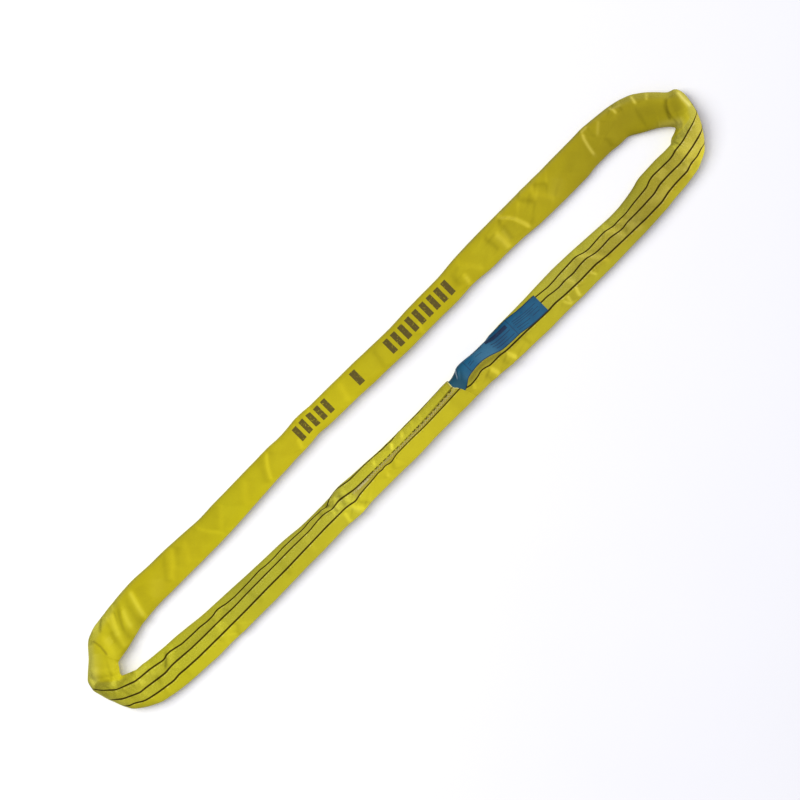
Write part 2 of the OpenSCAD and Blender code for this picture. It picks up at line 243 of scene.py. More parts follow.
# The three marker stripes where they show, as lines in plan.
STRIPES_LEFT = [
    [(84, -40.9), (50, -41.6), (20, -43), (0, -43.4), (-40, -44), (-60, -45), (-80, -44.4), (-100, -42.6), (-130, -41), (-160, -41),
     (-180, -37.5), (-190, -36.3), (-200, -36.6), (-210, -42), (-222, -47), (-230, -45), (-260, -43), (-280, -44.5),
     (-300, -43), (-330, -42), (-350, -43.5), (-370, -43), (-385, -41), (-410, -42.5), (-450, -43), (-470, -41), (-480, -38.2),
     (-490, -37.5), (-500, -40), (-515, -40), (-530, -38.2), (-550, -37.5), (-575, -36), (-590, -32), (-600, -30.5), (-610, -31.6),
     (-615, -34.5), (-620, -34), (-635, -31), (-650, -28.4), (-665, -26.4), (-680, -24), (-690, -20), (-700, -16), (-711, -12),
     (-720, -3), (-728, 4), (-735, 12), (-744.5, 25)],
    [(92, -55), (50, -57.5), (0, -60), (-50, -61), (-150, -59.5), (-165, -59), (-180, -56.5), (-200, -53.5), (-215, -56), (-235, -52),
     (-250, -52.5), (-270, -54.5), (-320, -53), (-400, -54), (-440, -54.5), (-460, -55.5), (-500, -55), (-540, -55), (-570, -54),
     (-600, -51.5), (-615, -50.5), (-630, -52), (-650, -49.5), (-670, -46.5), (-685, -46), (-700, -39.5), (-715, -31.5), (-725, -23),
     (-735, -14), (-741, -5)],
    [(97, -64.5), (50, -66.5), (0, -68), (-30, -67), (-68, -67.4), (-76, -69.4), (-85, -71.8), (-91, -70), (-97, -67.6), (-105, -70.2),
     (-112, -68), (-122, -69.2), (-135, -70.4), (-150, -71.5), (-165, -73),
     (-178, -76.5), (-185, -74), (-200, -72), (-250, -71.5), (-300, -71.5), (-350, -73), (-400, -73.5), (-450, -74.5),
     (-500, -74.5), (-570, -74), (-600, -72.5), (-615, -71), (-630, -72.5), (-645, -70), (-660, -68), (-675, -65), (-690, -62),
     (-700, -57), (-706, -53), (-715, -49), (-725, -40.5), (-735, -30)]]
STRIPES_RIGHT = [
    [(744, 2), (738, -15.5), (725, -20.5), (715, -24.5), (700, -28.5), (690, -31.5), (680, -34), (660, -36), (650, -39), (640, -40),
     (600, -40), (590, -42), (580, -47), (560, -49), (540, -50.5), (520, -53), (500, -52.5), (490, -53.5), (480, -51), (465, -49),
     (450, -49.5), (430, -51), (420, -49.5), (410, -46), (400, -44), (360, -45.5), (345, -47), (330, -47.5), (302, -44.5),
     (240, -44), (180, -44), (112, -43)],
    [(723, -45), (710, -49.5), (700, -51.5), (690, -53.5), (670, -56), (650, -58), (620, -58), (600, -59.5), (580, -64.5), (540, -66),
     (510, -65.5), (500, -67.5), (490, -67), (470, -63.5), (450, -65), (435, -64.5), (425, -62), (415, -59), (400, -59),
     (380, -61.5), (360, -60), (345, -61.5), (330, -60), (320, -58), (302, -58), (240, -58), (180, -57), (112, -58)],
    [(709, -67), (697, -68.5), (680, -73), (670, -72), (660, -73.5), (650, -77.5), (620, -77.5), (600, -79), (580, -83.5), (540, -85),
     (500, -84), (445, -83), (420, -80), (380, -80), (340, -79), (320, -77.5), (300, -79), (250, -77), (200, -76), (185, -73),
     (160, -73), (150, -69), (140, -68.5), (130, -72), (110, -74), (97, -77.2)]]
# small corrections of the stripes' places: x, dy
SHIFT_LEFT = [
    ([-736, -725, -690, -677, -660, -641, -629, -615, -600, -571, -523, -511, -476, -440, -392, -344, -300, -272, -150, -119, -95, -83, -71,
      -60, -35, -23, 0, 24, 36, 72],
     [0.8, 0.6, 0.0, -0.6, 0, 0.9, 1.3, 0.3, -0.5, -0.5, 0.3, -0.5, -0.8, -0.8, -0.7, -0.6, -0.4, 0, 0.4, 0.6, 0.8, 0.5, -0.3,
      0.5, 1.4, 1.0, 0.5, 0.8, 1.3, 1.3]),
    ([-735, -717, -705, -696, -685, -675, -662, -640, -626, -610, -518, -506, -490, -400, -374, -350, -326, -300, -260, -242, -230, -219,
      -195, -180, -123, -99, -87, -70, 20, 32, 56],
     [-1.4, -0.7, 0.6, 1.2, 0.7, 0, -0.4, -0.3, -0.5, 0, 0.6, 0.8, 0.2, -0.3, -0.7, -0.9, -0.6, 0, 0.4, 1.0, 0, -0.6,
      0.5, 0, -0.8, -0.5, -0.6, 0, 0, 0.6, 0.8]),
    ([-735, -721, -711, -701, -690, -675, -400, -379, -331, -307, -271, -255, -235, -211, -187, -164, -140, -93, -60, 0, 30],
     [0.8, 1.4, 2.0, 2.2, 1.0, 0, -0.2, -0.7, -0.8, -0.8, -0.6, 0.4, 0.9, 1.2, 0.9, 1.1, 0.6, 0.8, 0.3, 0.5, 0.3])]
SHIFT_RIGHT = [
    ([199, 302, 331, 355, 379, 391, 414, 450, 480, 521, 540, 557, 581, 610, 628, 640, 663, 675, 687, 698, 721, 732, 744],
     [0, -0.5, -0.7, -0.8, -1.3, -0.6, -0.8, -0.7, -0.3, -0.6, 0, 0.5, 0.4, 0, -0.6, -0.9, -0.5, 0, 0.5, 0.7, 0.5, 1.0, 1.0]),
    ([240, 306, 342, 366, 390, 402, 425, 450, 480, 497, 520, 600, 628, 640, 652, 664, 680, 695, 711, 723],
     [0, -0.6, -0.8, -0.9, -1.5, -1.0, -0.8, -0.3, -0.3, -0.8, 0, 0, -0.8, -1.0, -1.1, -0.8, 0, 0.6, 1.4, 1.2]),
    ([171, 200, 231, 303, 340, 363, 375, 411, 423, 445, 471, 490, 560, 579, 590, 605, 626, 638, 650, 661, 680, 697, 709],
     [-0.4, 0.5, 0.9, 0.7, 0.3, 0.4, -0.4, 0.9, 0.6, 0.4, 0.9, 0, 0, -0.6, -1.3, -0.6, -0.6, -0.7, 0, 0.6, 0.8, 1.7, 1.7])]
for lines, shifts in ((STRIPES_LEFT, SHIFT_LEFT), (STRIPES_RIGHT, SHIFT_RIGHT)):
    for j in range(3):
        lines[j] = [(x, y + float(np.interp(x, *shifts[j]))) for x, y in lines[j]]
HIDDEN = (226.0, 254.0, 288.0)  # where the stripes run underneath, on the plain leg
U_STRIPE = (0.0, 17.0, 37.0)  # the stripes' places round the sleeve, and its girth, in mm
GIRTH = 156.0


def smooth(v, sigma):
    """Gaussian smoothing of rows, ends held."""
    r = int(3 * sigma) + 1
    k = np.exp(-0.5 * (np.arange(-r, r + 1) / sigma) ** 2)
    k /= k.sum()
    v = np.asarray(v, float)
    one = v.ndim == 1
    w = v[:, None] if one else v
    p = np.vstack([2 * w[:1] - w[r:0:-1], w, 2 * w[-1:] - w[-2:-r - 2:-1]])
    s = np.stack([np.convolve(p[:, c], k, "valid") for c in range(p.shape[1])], 1)
    return s[:, 0] if one else s


ribs = [LAP_END]
for x, yi, yo in SEAM_LEG:
    ribs.append(((x, yi), (x, yo), float(np.interp(x, *THICK_SEAM))))
ribs += LEFT_EYE
for x, yi, yo in PLAIN_LEG:
    ribs.append(((x, yi), (x, yo), float(np.interp(x, *THICK_PLAIN))))
ribs += RIGHT_EYE
for x, yi, yo in SEAM_LEG_2:
    ribs.append(((x, yi), (x, yo), float(np.interp(x, *THICK_SEAM))))
rib = np.array([[*i, *o, b] for i, o, b in ribs], float)
rib[:, 1] += Y0
rib[:, 3] += Y0
# small corrections of the edges along the legs, mm
EDGE_SEAM_OUT = ([-640, -600, -450, -350, 75, 100, 150, 175, 225, 300, 350, 375, 450, 600, 640],
                 [0.0, 0.8, 1.0, 1.2, 1.2, 2.4, 3.0, 1.5, 0.8, 1.4, 0.2, 0.2, 0.9, 0.9, 0.0])
EDGE_PLAIN_IN = ([-640, -600, -525, -450, -125, -100, -75, 0, 175, 200, 225, 250, 475, 500, 525, 550, 575, 600],
                 [1.2, 2.3, 1.9, 1.5, 1.3, 0.5, 1.0, 1.5, 1.5, 0.7, 0.0, 1.4, 1.2, 0.0, 0.2, 1.8, 1.3, 0.3])
EDGE_PLAIN_OUT = ([-640, -600, -475, -250, -225, 75, 100, 200, 225, 600], [-0.4, -0.8, -1.4, -0.8, 0.2, 0.6, 2.5, 2.2, 0.0, 0.2])
EDGE_SEAM_IN = ([-640, -350, -325, -250, -225, -200, 60, 450, 500, 525, 575, 600, 640], [0, 0, 0.8, 0.6, 0, 0, 0, 1.0, 1.2, 2.4, 3.0, 2.2, 0.6])
seam_side, legs_part = rib[:, 1] < 0, np.abs(rib[:, 0]) < 640
for col, side, table in ((3, seam_side, EDGE_SEAM_OUT), (1, ~seam_side, EDGE_PLAIN_IN), (3, ~seam_side, EDGE_PLAIN_OUT), (1, seam_side, EDGE_SEAM_IN)):
    use = side & legs_part
    rib[use, col] += np.interp(rib[use, col - 1], *table)
step = np.maximum(np.hypot(*(np.diff(rib[:, 0:2], axis=0).T)), np.hypot(*(np.diff(rib[:, 2:4], axis=0).T)))
run_at = np.concatenate([[0], np.cumsum(step)])
RING = 2.4
count = int(run_at[-1] / RING)
t = np.linspace(0, run_at[-1], count)
rings = np.stack([np.interp(t, run_at, rib[:, c]) for c in range(5)], 1)
first, last = rings[0].copy(), rings[-1].copy()
rings = smooth(rings, 2.1)
rings[:, 4] = smooth(rings[:, 4], 9)
inner, outer, half_b = rings[:, 0:2], rings[:, 2:4], rings[:, 4]
N = len(rings)
mid = (inner + outer) / 2
half_a = np.hypot(*(outer - inner).T) / 2
across = (outer - inner) / (2 * half_a[:, None])
s_mm = np.concatenate([[0], np.cumsum(np.hypot(*np.diff(mid, axis=0).T))])
ri = np.arange(N)
on_seam = mid[:, 1] < 0
i_left = int(np.argmin(mid[:, 0]))  # the ring at each tip
i_right = int(np.argmax(mid[:, 0]))
X = mid[:, 0]


def ring_at(x, part):
    """The ring nearest x on a part of the loop: lap, plain or tucked."""
    lo, hi = {"lap": (0, i_left), "plain": (i_left, i_right), "tucked": (i_right, N)}[part]
    return lo + int(np.argmin(np.abs(X[lo:hi] - x)))


CUT = ring_at(212, "plain")  # where the two halves of the sleeve meet
i_label = ring_at(112, "tucked")
i_under = ring_at(97, "tucked")

# room for the lap: the tucked end is drawn in under it
inset = np.where(ri > i_right, np.clip((110 - X) / 14, 0, 1), 0.0)
inset = inset * inset * (3 - 2 * inset) * (1.9 + 1.6 * np.clip((40 - X) / 60, 0, 1))
# how square the section is: flat-lying legs, rounder eyes
tip = np.clip((half_b - 11.5) / 6.0, 0, 1)
power = 2.62 - 0.5 * tip
# a slight roll of the section, in mm of height between its edges
roll = np.zeros(N)
roll += np.where((ri > i_left) & (ri < i_right), np.interp(X, [-700, -640, -560, 430, 520, 660, 720], [0, -1.5, 0, 0, 3.4, 4.0, 0]), 0)
roll += np.where(ri >= i_right, np.interp(X, [250, 420, 560, 640, 700], [0, 1.0, 2.2, 0.8, 0]), 0)
roll = smooth(roll, 12)

# ------------------------------------------------------------------ section outlines and the stripes' places
TH = np.linspace(0, 360, 361)
sect = np.zeros((N, 361, 2))
arc = np.zeros((N, 361))
for i in range(N):
    a, b, n = half_a[i] - inset[i], half_b[i] - 0.55 * inset[i], power[i]
    c, s = np.cos(np.radians(TH)), np.sin(np.radians(TH))
    l = -a * np.sign(c) * np.abs(c) ** (2 / n)
    h = np.sign(s) * np.abs(s) ** (2 / n)
    z = np.where(h >= 0, half_b[i] + b * h, half_b[i] + 1.22 * b * h)
    low = 0.5 * inset[i]
    z = low + np.where(z - low > 2.0, z - low, np.where(z - low < -2.0, 0, (z - low + 2.0) ** 2 / 8.0))
    z = z + roll[i] * (l / half_a[i]) * 0.5 * np.clip(z / half_b[i], 0, 1)
    sect[i, :, 0], sect[i, :, 1] = l, z
    d = np.hypot(np.diff(l), np.diff(z))
    arc[i] = np.concatenate([[0], np.cumsum(d)])
girth = arc[:, -1]
arc /= girth[:, None]


def crossing(line, i):
    """Where a line in plan crosses ring i: 0 at its inner edge, 1 at its outer edge."""
    p = np.array(line, float) + (0, Y0)
    tan = np.array([across[i, 1], -across[i, 0]])
    v = (p - inner[i]) @ tan
    w = (p - inner[i]) @ across[i] / (2 * half_a[i])
    k = np.nonzero(v[:-1] * v[1:] <= 0)[0]
    best = None
    for q in k:
        f = v[q] / (v[q] - v[q + 1]) if v[q] != v[q + 1] else 0.0
        x = w[q] + f * (w[q + 1] - w[q])
        if -0.05 < x < 1.08 and abs(f) <= 1:
            best = x if best is None else min(best, x, key=lambda y: abs(y - 0.5))
    return best


angle = np.full((3, N), np.nan)
for j in range(3):
    for i in range(N):
        line = STRIPES_LEFT[j] if i <= i_left + 22 else STRIPES_RIGHT[j] if i >= i_right - 26 else None
        if line is None or i > i_label:
            continue
        f = crossing(line, i)
        if f is not None:
            g = np.clip(2 * f - 1, -1, 1)
            c = -np.sign(g) * abs(g) ** (power[i] / 2)
            angle[j, i] = math.degrees(math.acos(c))
    plain = (ri > i_left) & (ri < i_right) & (np.abs(X) < 575)
    angle[j, plain] = HIDDEN[j]
    angle[j, i_label + 14:] = (17, 50, 84)[j]
    good = ~np.isnan(angle[j])
    # past the last place where it shows, a stripe turns over the edge
    a0 = int(np.nonzero(good & (ri <= i_left + 22))[0][-1])
    a1 = int(np.nonzero(good & (ri >= i_right - 26))[0][0])
    if a0 < i_left + 16:
        angle[j, a0 + 6] = 188.0 + 4 * j
    if a1 > i_right - 20:
        angle[j, a1 - 6] = 188.0 + 4 * j
    good = ~np.isnan(angle[j])
    angle[j] = np.interp(ri, ri[good], angle[j][good])
    angle[j] = smooth(angle[j], 1.3)
# keep the stripes in order round the section
for j in (1, 2):
    angle[j] = np.maximum(angle[j], angle[j - 1] + 9)

# columns of the mesh: one set of material lines, closer together at the stripes
cols = []
for u in U_STRIPE:
    cols += [u + d for d in (-2.3, -1.45, -0.95, 0, 0.95, 1.45, 2.3)]
for lo, hi in ((2.3, 14.7), (19.3, 34.7), (39.3, GIRTH - 2.3)):
    n = max(2, round((hi - lo) / 1.55))
    cols += list(np.linspace(lo, hi, n + 1)[1:-1])
cols = np.array(sorted(c % GIRTH for c in cols))
K = len(cols)
knots_u = np.array([U_STRIPE[0] - (GIRTH - U_STRIPE[2]), *U_STRIPE, GIRTH])
pos_lz = np.zeros((N, K, 2))
frac = np.zeros((N, K))
for i in range(N):
    q = np.interp(angle[:, i], TH, arc[i])
    knots_q = np.array([q[2] - 1, q[0], q[1], q[2], q[0] + 1])
    f = np.interp(cols, knots_u, knots_q) % 1.0
    frac[i] = f
    pos_lz[i, :, 0] = np.interp(f, arc[i], sect[i, :, 0])
    pos_lz[i, :, 1] = np.interp(f, arc[i], sect[i, :, 1])
base = np.zeros((N, K, 3))
base[..., 0] = mid[:, None, 0] + across[:, None, 0] * pos_lz[..., 0]
base[..., 1] = mid[:, None, 1] + across[:, None, 1] * pos_lz[..., 0]
base[..., 2] = pos_lz[..., 1]


def normals(p):
    """Vertex normals of a tube of rings, outward."""
    du = np.roll(p, -1, 1) - np.roll(p, 1, 1)
    ds = np.empty_like(p)
    ds[1:-1] = p[2:] - p[:-2]
    ds[0], ds[-1] = p[1] - p[0], p[-1] - p[-2]
    n = np.cross(du, ds)
    return n / np.maximum(np.linalg.norm(n, axis=-1, keepdims=True), 1e-9)


nor = normals(base)
if (nor[:, :, 2] * (base[:, :, 2] - half_b[:, None])).sum() < 0:
    nor = -nor


# ------------------------------------------------------------------ creases and unevenness
def lattice(s, u, ls, lu, seed, period=GIRTH):
    """Smooth random field over run and girth, repeating round the girth."""
    nu = max(2, round(period / lu))
    ns = int(s.max() / ls) + 4
    g = np.random.RandomState(seed).uniform(-1, 1, (ns, nu))
    a, b = s / ls, (u / period) * nu
    ia, ib = np.floor(a).astype(int), np.floor(b).astype(int)
    fa, fb = a - ia, b - ib
    fa, fb = fa * fa * (3 - 2 * fa), fb * fb * (3 - 2 * fb)
    g00, g10 = g[ia % ns, ib % nu], g[(ia + 1) % ns, ib % nu]
    g01, g11 = g[ia % ns, (ib + 1) % nu], g[(ia + 1) % ns, (ib + 1) % nu]
    return (g00 * (1 - fa) + g10 * fa) * (1 - fb) + (g01 * (1 - fa) + g11 * fa) * fb


S, U = np.meshgrid(s_mm, cols, indexing="ij")
up = np.clip(nor[..., 2] * 2.2, 0, 1)
down = np.clip(-nor[..., 2] * 1.6, 0, 1)

# Folds, as lines in plan. "step": the cloth falls towards the right-hand side of the line with this slope, over this
# half width, and rises if the slope is below 0. "fold": a ridge or, below 0, a furrow of this height and width.
STROKES = [
    # left eye and the slanting folds beside it
    ("step", 0.31, 4.6, [(-587, 30), (-582, 60), (-577, 78), (-571, 99)]),
    ("step", -0.11, 6.0, [(-601, 34), (-598, 58), (-594, 74), (-588, 92)]),
    ("step", 0.21, 5.4, [(-618, 30), (-615, 56), (-609, 72), (-601, 87)]),
    ("step", -0.16, 5.0, [(-633, 28), (-628, 56), (-621, 74), (-611, 87), (-600, 97)]),
    ("step", 0.23, 5.5, [(-649, 26), (-640, 56), (-632, 74), (-620, 93)]),
    ("step", -0.17, 4.5, [(-656, 26), (-648, 56), (-643, 70), (-638, 86)]),
    ("step", 0.32, 8.0, [(-671, 30), (-668, 55), (-661, 76)]),
    ("step", -0.22, 2.4, [(-685, 82), (-680, 74), (-678, 60), (-679, 50), (-681, 36)]),
    ("step", -0.28, 2.4, [(-662, 79), (-655, 86), (-649, 92), (-642, 97)]),
    ("step", 0.26, 5.0, [(-634, 97), (-625, 94), (-617, 90)]),
    ("step", -0.50, 5.4, [(-741, 27), (-722, 15), (-700, 4)]),
    ("step", 0.34, 5.0, [(-733, 35), (-716, 25), (-690, 5)]),
    ("step", -0.22, 2.6, [(-722, 42), (-705, 30), (-688, 17)]),
    ("step", 0.40, 3.2, [(-718, -5), (-706, -1), (-697, 1)]),
    ("step", -0.30, 6.5, [(-708, -13), (-690, -10), (-672, -17)]),
    ("step", 0.26, 4.0, [(-674, -20), (-662, -20), (-646, -24)]),
    ("step", 0.34, 6.5, [(-686, -41), (-666, -37), (-642, -42)]),
    ("step", -0.44, 2.4, [(-627, -48), (-618, -41), (-611, -34), (-603, -25)]),
    ("step", 0.30, 4.0, [(-617, -51), (-606, -43), (-596, -34), (-588, -27)]),
    ("step", -0.18, 8.0, [(-738, -20), (-722, -32), (-700, -46)]),
    ("step", 0.20, 6.0, [(-650, -62), (-625, -64), (-600, -62)]),
    # plain leg
    ("step", 0.19, 5.0, [(-509, 50), (-500, 62), (-488, 73), (-478, 84), (-465, 99)]),
    ("step", -0.12, 6.0, [(-518, 58), (-505, 74), (-494, 88), (-484, 99)]),
    ("step", -0.09, 6.0, [(-484, 62), (-470, 78), (-456, 93)]),
    ("step", 0.10, 6.0, [(-464, 54), (-452, 72), (-440, 92)]),
    ("step", 0.22, 3.0, [(-380, 46), (-392, 62), (-404, 78), (-412, 95)]),
    ("step", 0.14, 6.0, [(-384, 56), (-368, 72), (-348, 92)]),
    ("step", 0.12, 7.0, [(-322, 56), (-306, 72), (-286, 94)]),
    ("step", 0.42, 3.0, [(-258, 52), (-252, 65), (-246, 76), (-238, 87), (-226, 99)]),
    ("step", -0.06, 6.0, [(-268, 56), (-262, 70), (-254, 84), (-242, 97)]),
    ("step", 0.30, 3.0, [(-179, 55), (-175, 66), (-172, 76)]),
    ("step", 0.26, 3.0, [(-160, 101), (-152, 98), (-144, 101)]),
    ("step", 0.20, 4.0, [(-128, 93), (-122, 97), (-117, 101)]),
    ("step", 0.14, 7.0, [(-62, 54), (-56, 74), (-50, 98)]),
    ("step", -0.12, 6.0, [(25, 52), (30, 70), (33, 94)]),
    ("step", 0.24, 3.6, [(116, 50), (121, 60), (125, 72)]),
    ("step", -0.16, 8.0, [(222, 60), (224, 76), (226, 94)]),
    ("step", 0.32, 4.4, [(238, 50), (240, 62), (241, 76)]),
    ("step", 0.16, 6.0, [(276, 52), (262, 74), (243, 98)]),
    ("step", -0.20, 5.0, [(316, 58), (315, 76), (312, 96)]),
    ("step", 0.40, 5.5, [(334, 46), (335, 66), (333, 88)]),
    ("step", -0.18, 5.5, [(347, 54), (349, 72), (352, 90)]),
    ("step", 0.74, 3.4, [(385, 46), (381, 62), (375, 78), (366, 91), (352, 102)]),
    ("step", -0.24, 6.5, [(424, 72), (413, 87), (400, 101)]),
    ("step", 0.24, 5.5, [(452, 52), (440, 74), (425, 96)]),
    ("step", -0.24, 4.0, [(460, 82), (449, 92), (437, 101)]),
    ("step", 0.60, 1.9, [(554, 58), (557, 76), (561, 92), (567, 103)]),
    ("step", 0.40, 2.2, [(563, 102), (570, 104), (580, 103)]),
    ("step", 0.26, 3.0, [(580, 78), (591, 88), (603, 98)]),
    ("step", 0.60, 2.0, [(633, 82), (634, 91), (630, 99)]),
    ("step", 0.50, 2.0, [(634, 95), (641, 91), (648, 88)]),
    ("step", 0.60, 2.3, [(668, 70), (671, 80), (673, 88)]),
    ("step", 0.34, 2.2, [(686, 62), (698, 73)]),
    ("step", -0.12, 3.6, [(654, 28), (658, 46), (664, 72)]),
    ("step", -0.16, 5.0, [(588, 46), (590, 58), (588, 70)]),
    ("step", -0.32, 3.4, [(691, 6), (696, 21), (703, 33), (714, 42)]),
    ("step", 0.70, 3.6, [(731, -4), (732, 8), (733, 22), (736, 37)]),
    # right eye and the seam leg's right half
    ("step", 0.22, 11.0, [(660, -90), (672, -66), (678, -44), (682, -20)]),
    ("step", -0.10, 4.0, [(645, -84), (652, -66), (660, -50), (660, -32)]),
    ("step", 0.34, 3.0, [(663, -28), (672, -30), (682, -32)]),
    ("step", 0.34, 3.0, [(697, -16), (705, -19), (714, -22)]),
    ("step", -0.26, 5.5, [(668, -23), (684, -19), (697, -20)]),
    ("step", 0.30, 3.4, [(652, -80), (664, -81), (678, -77)]),
    ("step", 0.16, 7.0, [(600, -70), (620, -66), (645, -66)]),
    ("step", -0.44, 4.0, [(470, -43), (481, -54), (488, -66), (494, -81)]),
    ("step", 0.26, 3.2, [(484, -42), (491, -52), (495, -62)]),
    ("step", -0.50, 3.6, [(401, -40), (413, -50), (423, -62), (433, -77), (444, -93)]),
    ("step", 0.12, 5.0, [(417, -42), (430, -56), (442, -70), (452, -84)]),
    ("step", -0.32, 3.8, [(361, -56), (366, -68), (370, -79)]),
    ("step", -0.50, 1.9, [(331, -84), (335, -92), (340, -100)]),
    ("step", 0.46, 1.9, [(341, -100), (342, -91), (344, -82)]),
    ("step", 0.56, 2.8, [(360, -101), (362, -91), (366, -82)]),
    ("step", -0.50, 1.8, [(401, -81), (405, -87), (409, -94)]),
    ("step", 0.20, 5.0, [(528, -66), (530, -76), (534, -90)]),
    ("step", 0.20, 5.0, [(512, -50), (518, -64), (524, -82)]),
    ("step", 0.56, 3.8, [(204, -99), (201, -89), (196, -78)]),
    ("step", -0.16, 5.0, [(186, -97), (184, -87), (183, -78)]),
    ("step", 0.56, 4.0, [(162, -98), (160, -87), (156, -76)]),
    ("step", -0.16, 5.0, [(146, -97), (144, -86), (143, -77)]),
    ("step", 0.36, 2.6, [(113, -86), (115, -79), (117, -74)]),
    ("step", -0.20, 4.0, [(240, -99), (238, -90), (236, -80)]),
    # the lap and the seam leg's left half
    ("fold", -1.5, 3.0, [(-215, -68), (-216, -60), (-219, -51), (-223, -41)]),
    ("step", -0.40, 3.0, [(-234, -41), (-224, -49), (-213, -58)]),
    ("step", 0.34, 6.0, [(-210, -66), (-206, -54), (-200, -42)]),
    ("step", 0.50, 2.6, [(-210, -97), (-208, -86), (-206, -75)]),
    ("step", -0.50, 3.2, [(-189, -77), (-182, -87), (-175, -98)]),
    ("step", 0.32, 4.0, [(-187, -71), (-183, -57), (-180, -40)]),
    ("step", -0.24, 4.0, [(-196, -72), (-194, -58), (-191, -43)]),
    ("step", 0.30, 3.0, [(-176, -79), (-168, -88), (-160, -97)]),
    ("step", 0.44, 1.9, [(-110, -55), (-107, -50), (-105, -45)]),
    ("step", 0.60, 2.1, [(-68, -57), (-64, -52), (-60, -47)]),
    ("step", 0.44, 1.9, [(-41, -55), (-37, -50), (-32, -46)]),
    ("step", 0.30, 1.9, [(-13, -52), (-10, -48), (-7, -44)]),
    ("step", 0.24, 1.9, [(6, -54), (9, -50), (11, -46)]),
    ("step", 0.30, 2.2, [(-107, -87), (-104, -83), (-101, -77)]),
    ("step", -0.20, 4.0, [(-90, -84), (-85, -76), (-78, -72)]),
    ("step", 0.36, 3.6, [(-504, -53), (-492, -46), (-478, -40)]),
    ("step", 0.26, 5.0, [(-508, -72), (-506, -62), (-505, -52)]),
    ("step", -0.20, 5.0, [(-490, -96), (-484, -88), (-478, -80)]),
    ("step", 0.14, 8.0, [(-520, -90), (-505, -84), (-490, -80)]),
    ("step", 0.12, 6.0, [(-430, -40), (-424, -60), (-420, -88)]),
    ("step", -0.12, 6.0, [(-352, -90), (-348, -62), (-345, -42)]),
    ("step", 0.12, 5.0, [(-290, -90), (-286, -64), (-284, -46)]),
]
P2 = base[..., :2] - (0, Y0)


def near(points, line):
    """Distance of plan points from a line, how far along it the nearest place is (0..1), and +1 on its right side."""
    p = np.array(line, float)
    seg = np.hypot(*np.diff(p, axis=0).T)
    total, done = seg.sum(), 0.0
    best = np.full(points.shape[:-1], 1e9)
    along = np.zeros(points.shape[:-1])
    side = np.ones(points.shape[:-1])
    for k in range(len(p) - 1):
        d = p[k + 1] - p[k]
        v = points - p[k]
        f = np.clip((v @ d) / (d @ d), 0, 1)
        r = np.hypot(*np.moveaxis(v - f[..., None] * d, -1, 0))
        better = r < best
        best = np.where(better, r, best)
        along = np.where(better, (done + f * seg[k]) / total, along)
        side = np.where(better, np.sign(v[..., 0] * d[1] - v[..., 1] * d[0]), side)
        done += seg[k]
    return best, along, side


STEP = 1.55
visible = (ri <= ring_at(96, "tucked")).astype(float)[:, None]
relief = np.zeros((N, K))
showing = np.where(ri > i_right, np.clip((X - 92) / 12, 0, 1), 1.0)[:, None]
for kind, size, width, line in STROKES:
    lx = [p[0] for p in line]
    ly = [p[1] for p in line]
    far = 60 + 6 * width
    rows = np.nonzero((X > min(lx) - far) & (X < max(lx) + far) & ((mid[:, 1] - Y0 - np.mean(ly)) * np.sign(np.mean(ly)) > -60))[0]
    if not len(rows):
        continue
    d, f, side = near(P2[rows], line)
    taper = min(0.45, 0.14 + 0.05 * max(0.0, width - 5.5))
    ends = np.clip(f / taper, 0, 1) * np.clip((1 - f) / taper, 0, 1)
    ends = ends * ends * (3 - 2 * ends)
    if kind == "step":
        shape = -side * STEP * size * width * np.tanh(d / width) * np.exp(-d / (2.8 * width + 4.0))
    else:
        shape = size * (np.exp(-(d / width) ** 2) - 0.28 * np.exp(-((d - 1.9 * width) / (0.9 * width)) ** 2))
    relief[rows] += ends * shape * (up * visible)[rows]

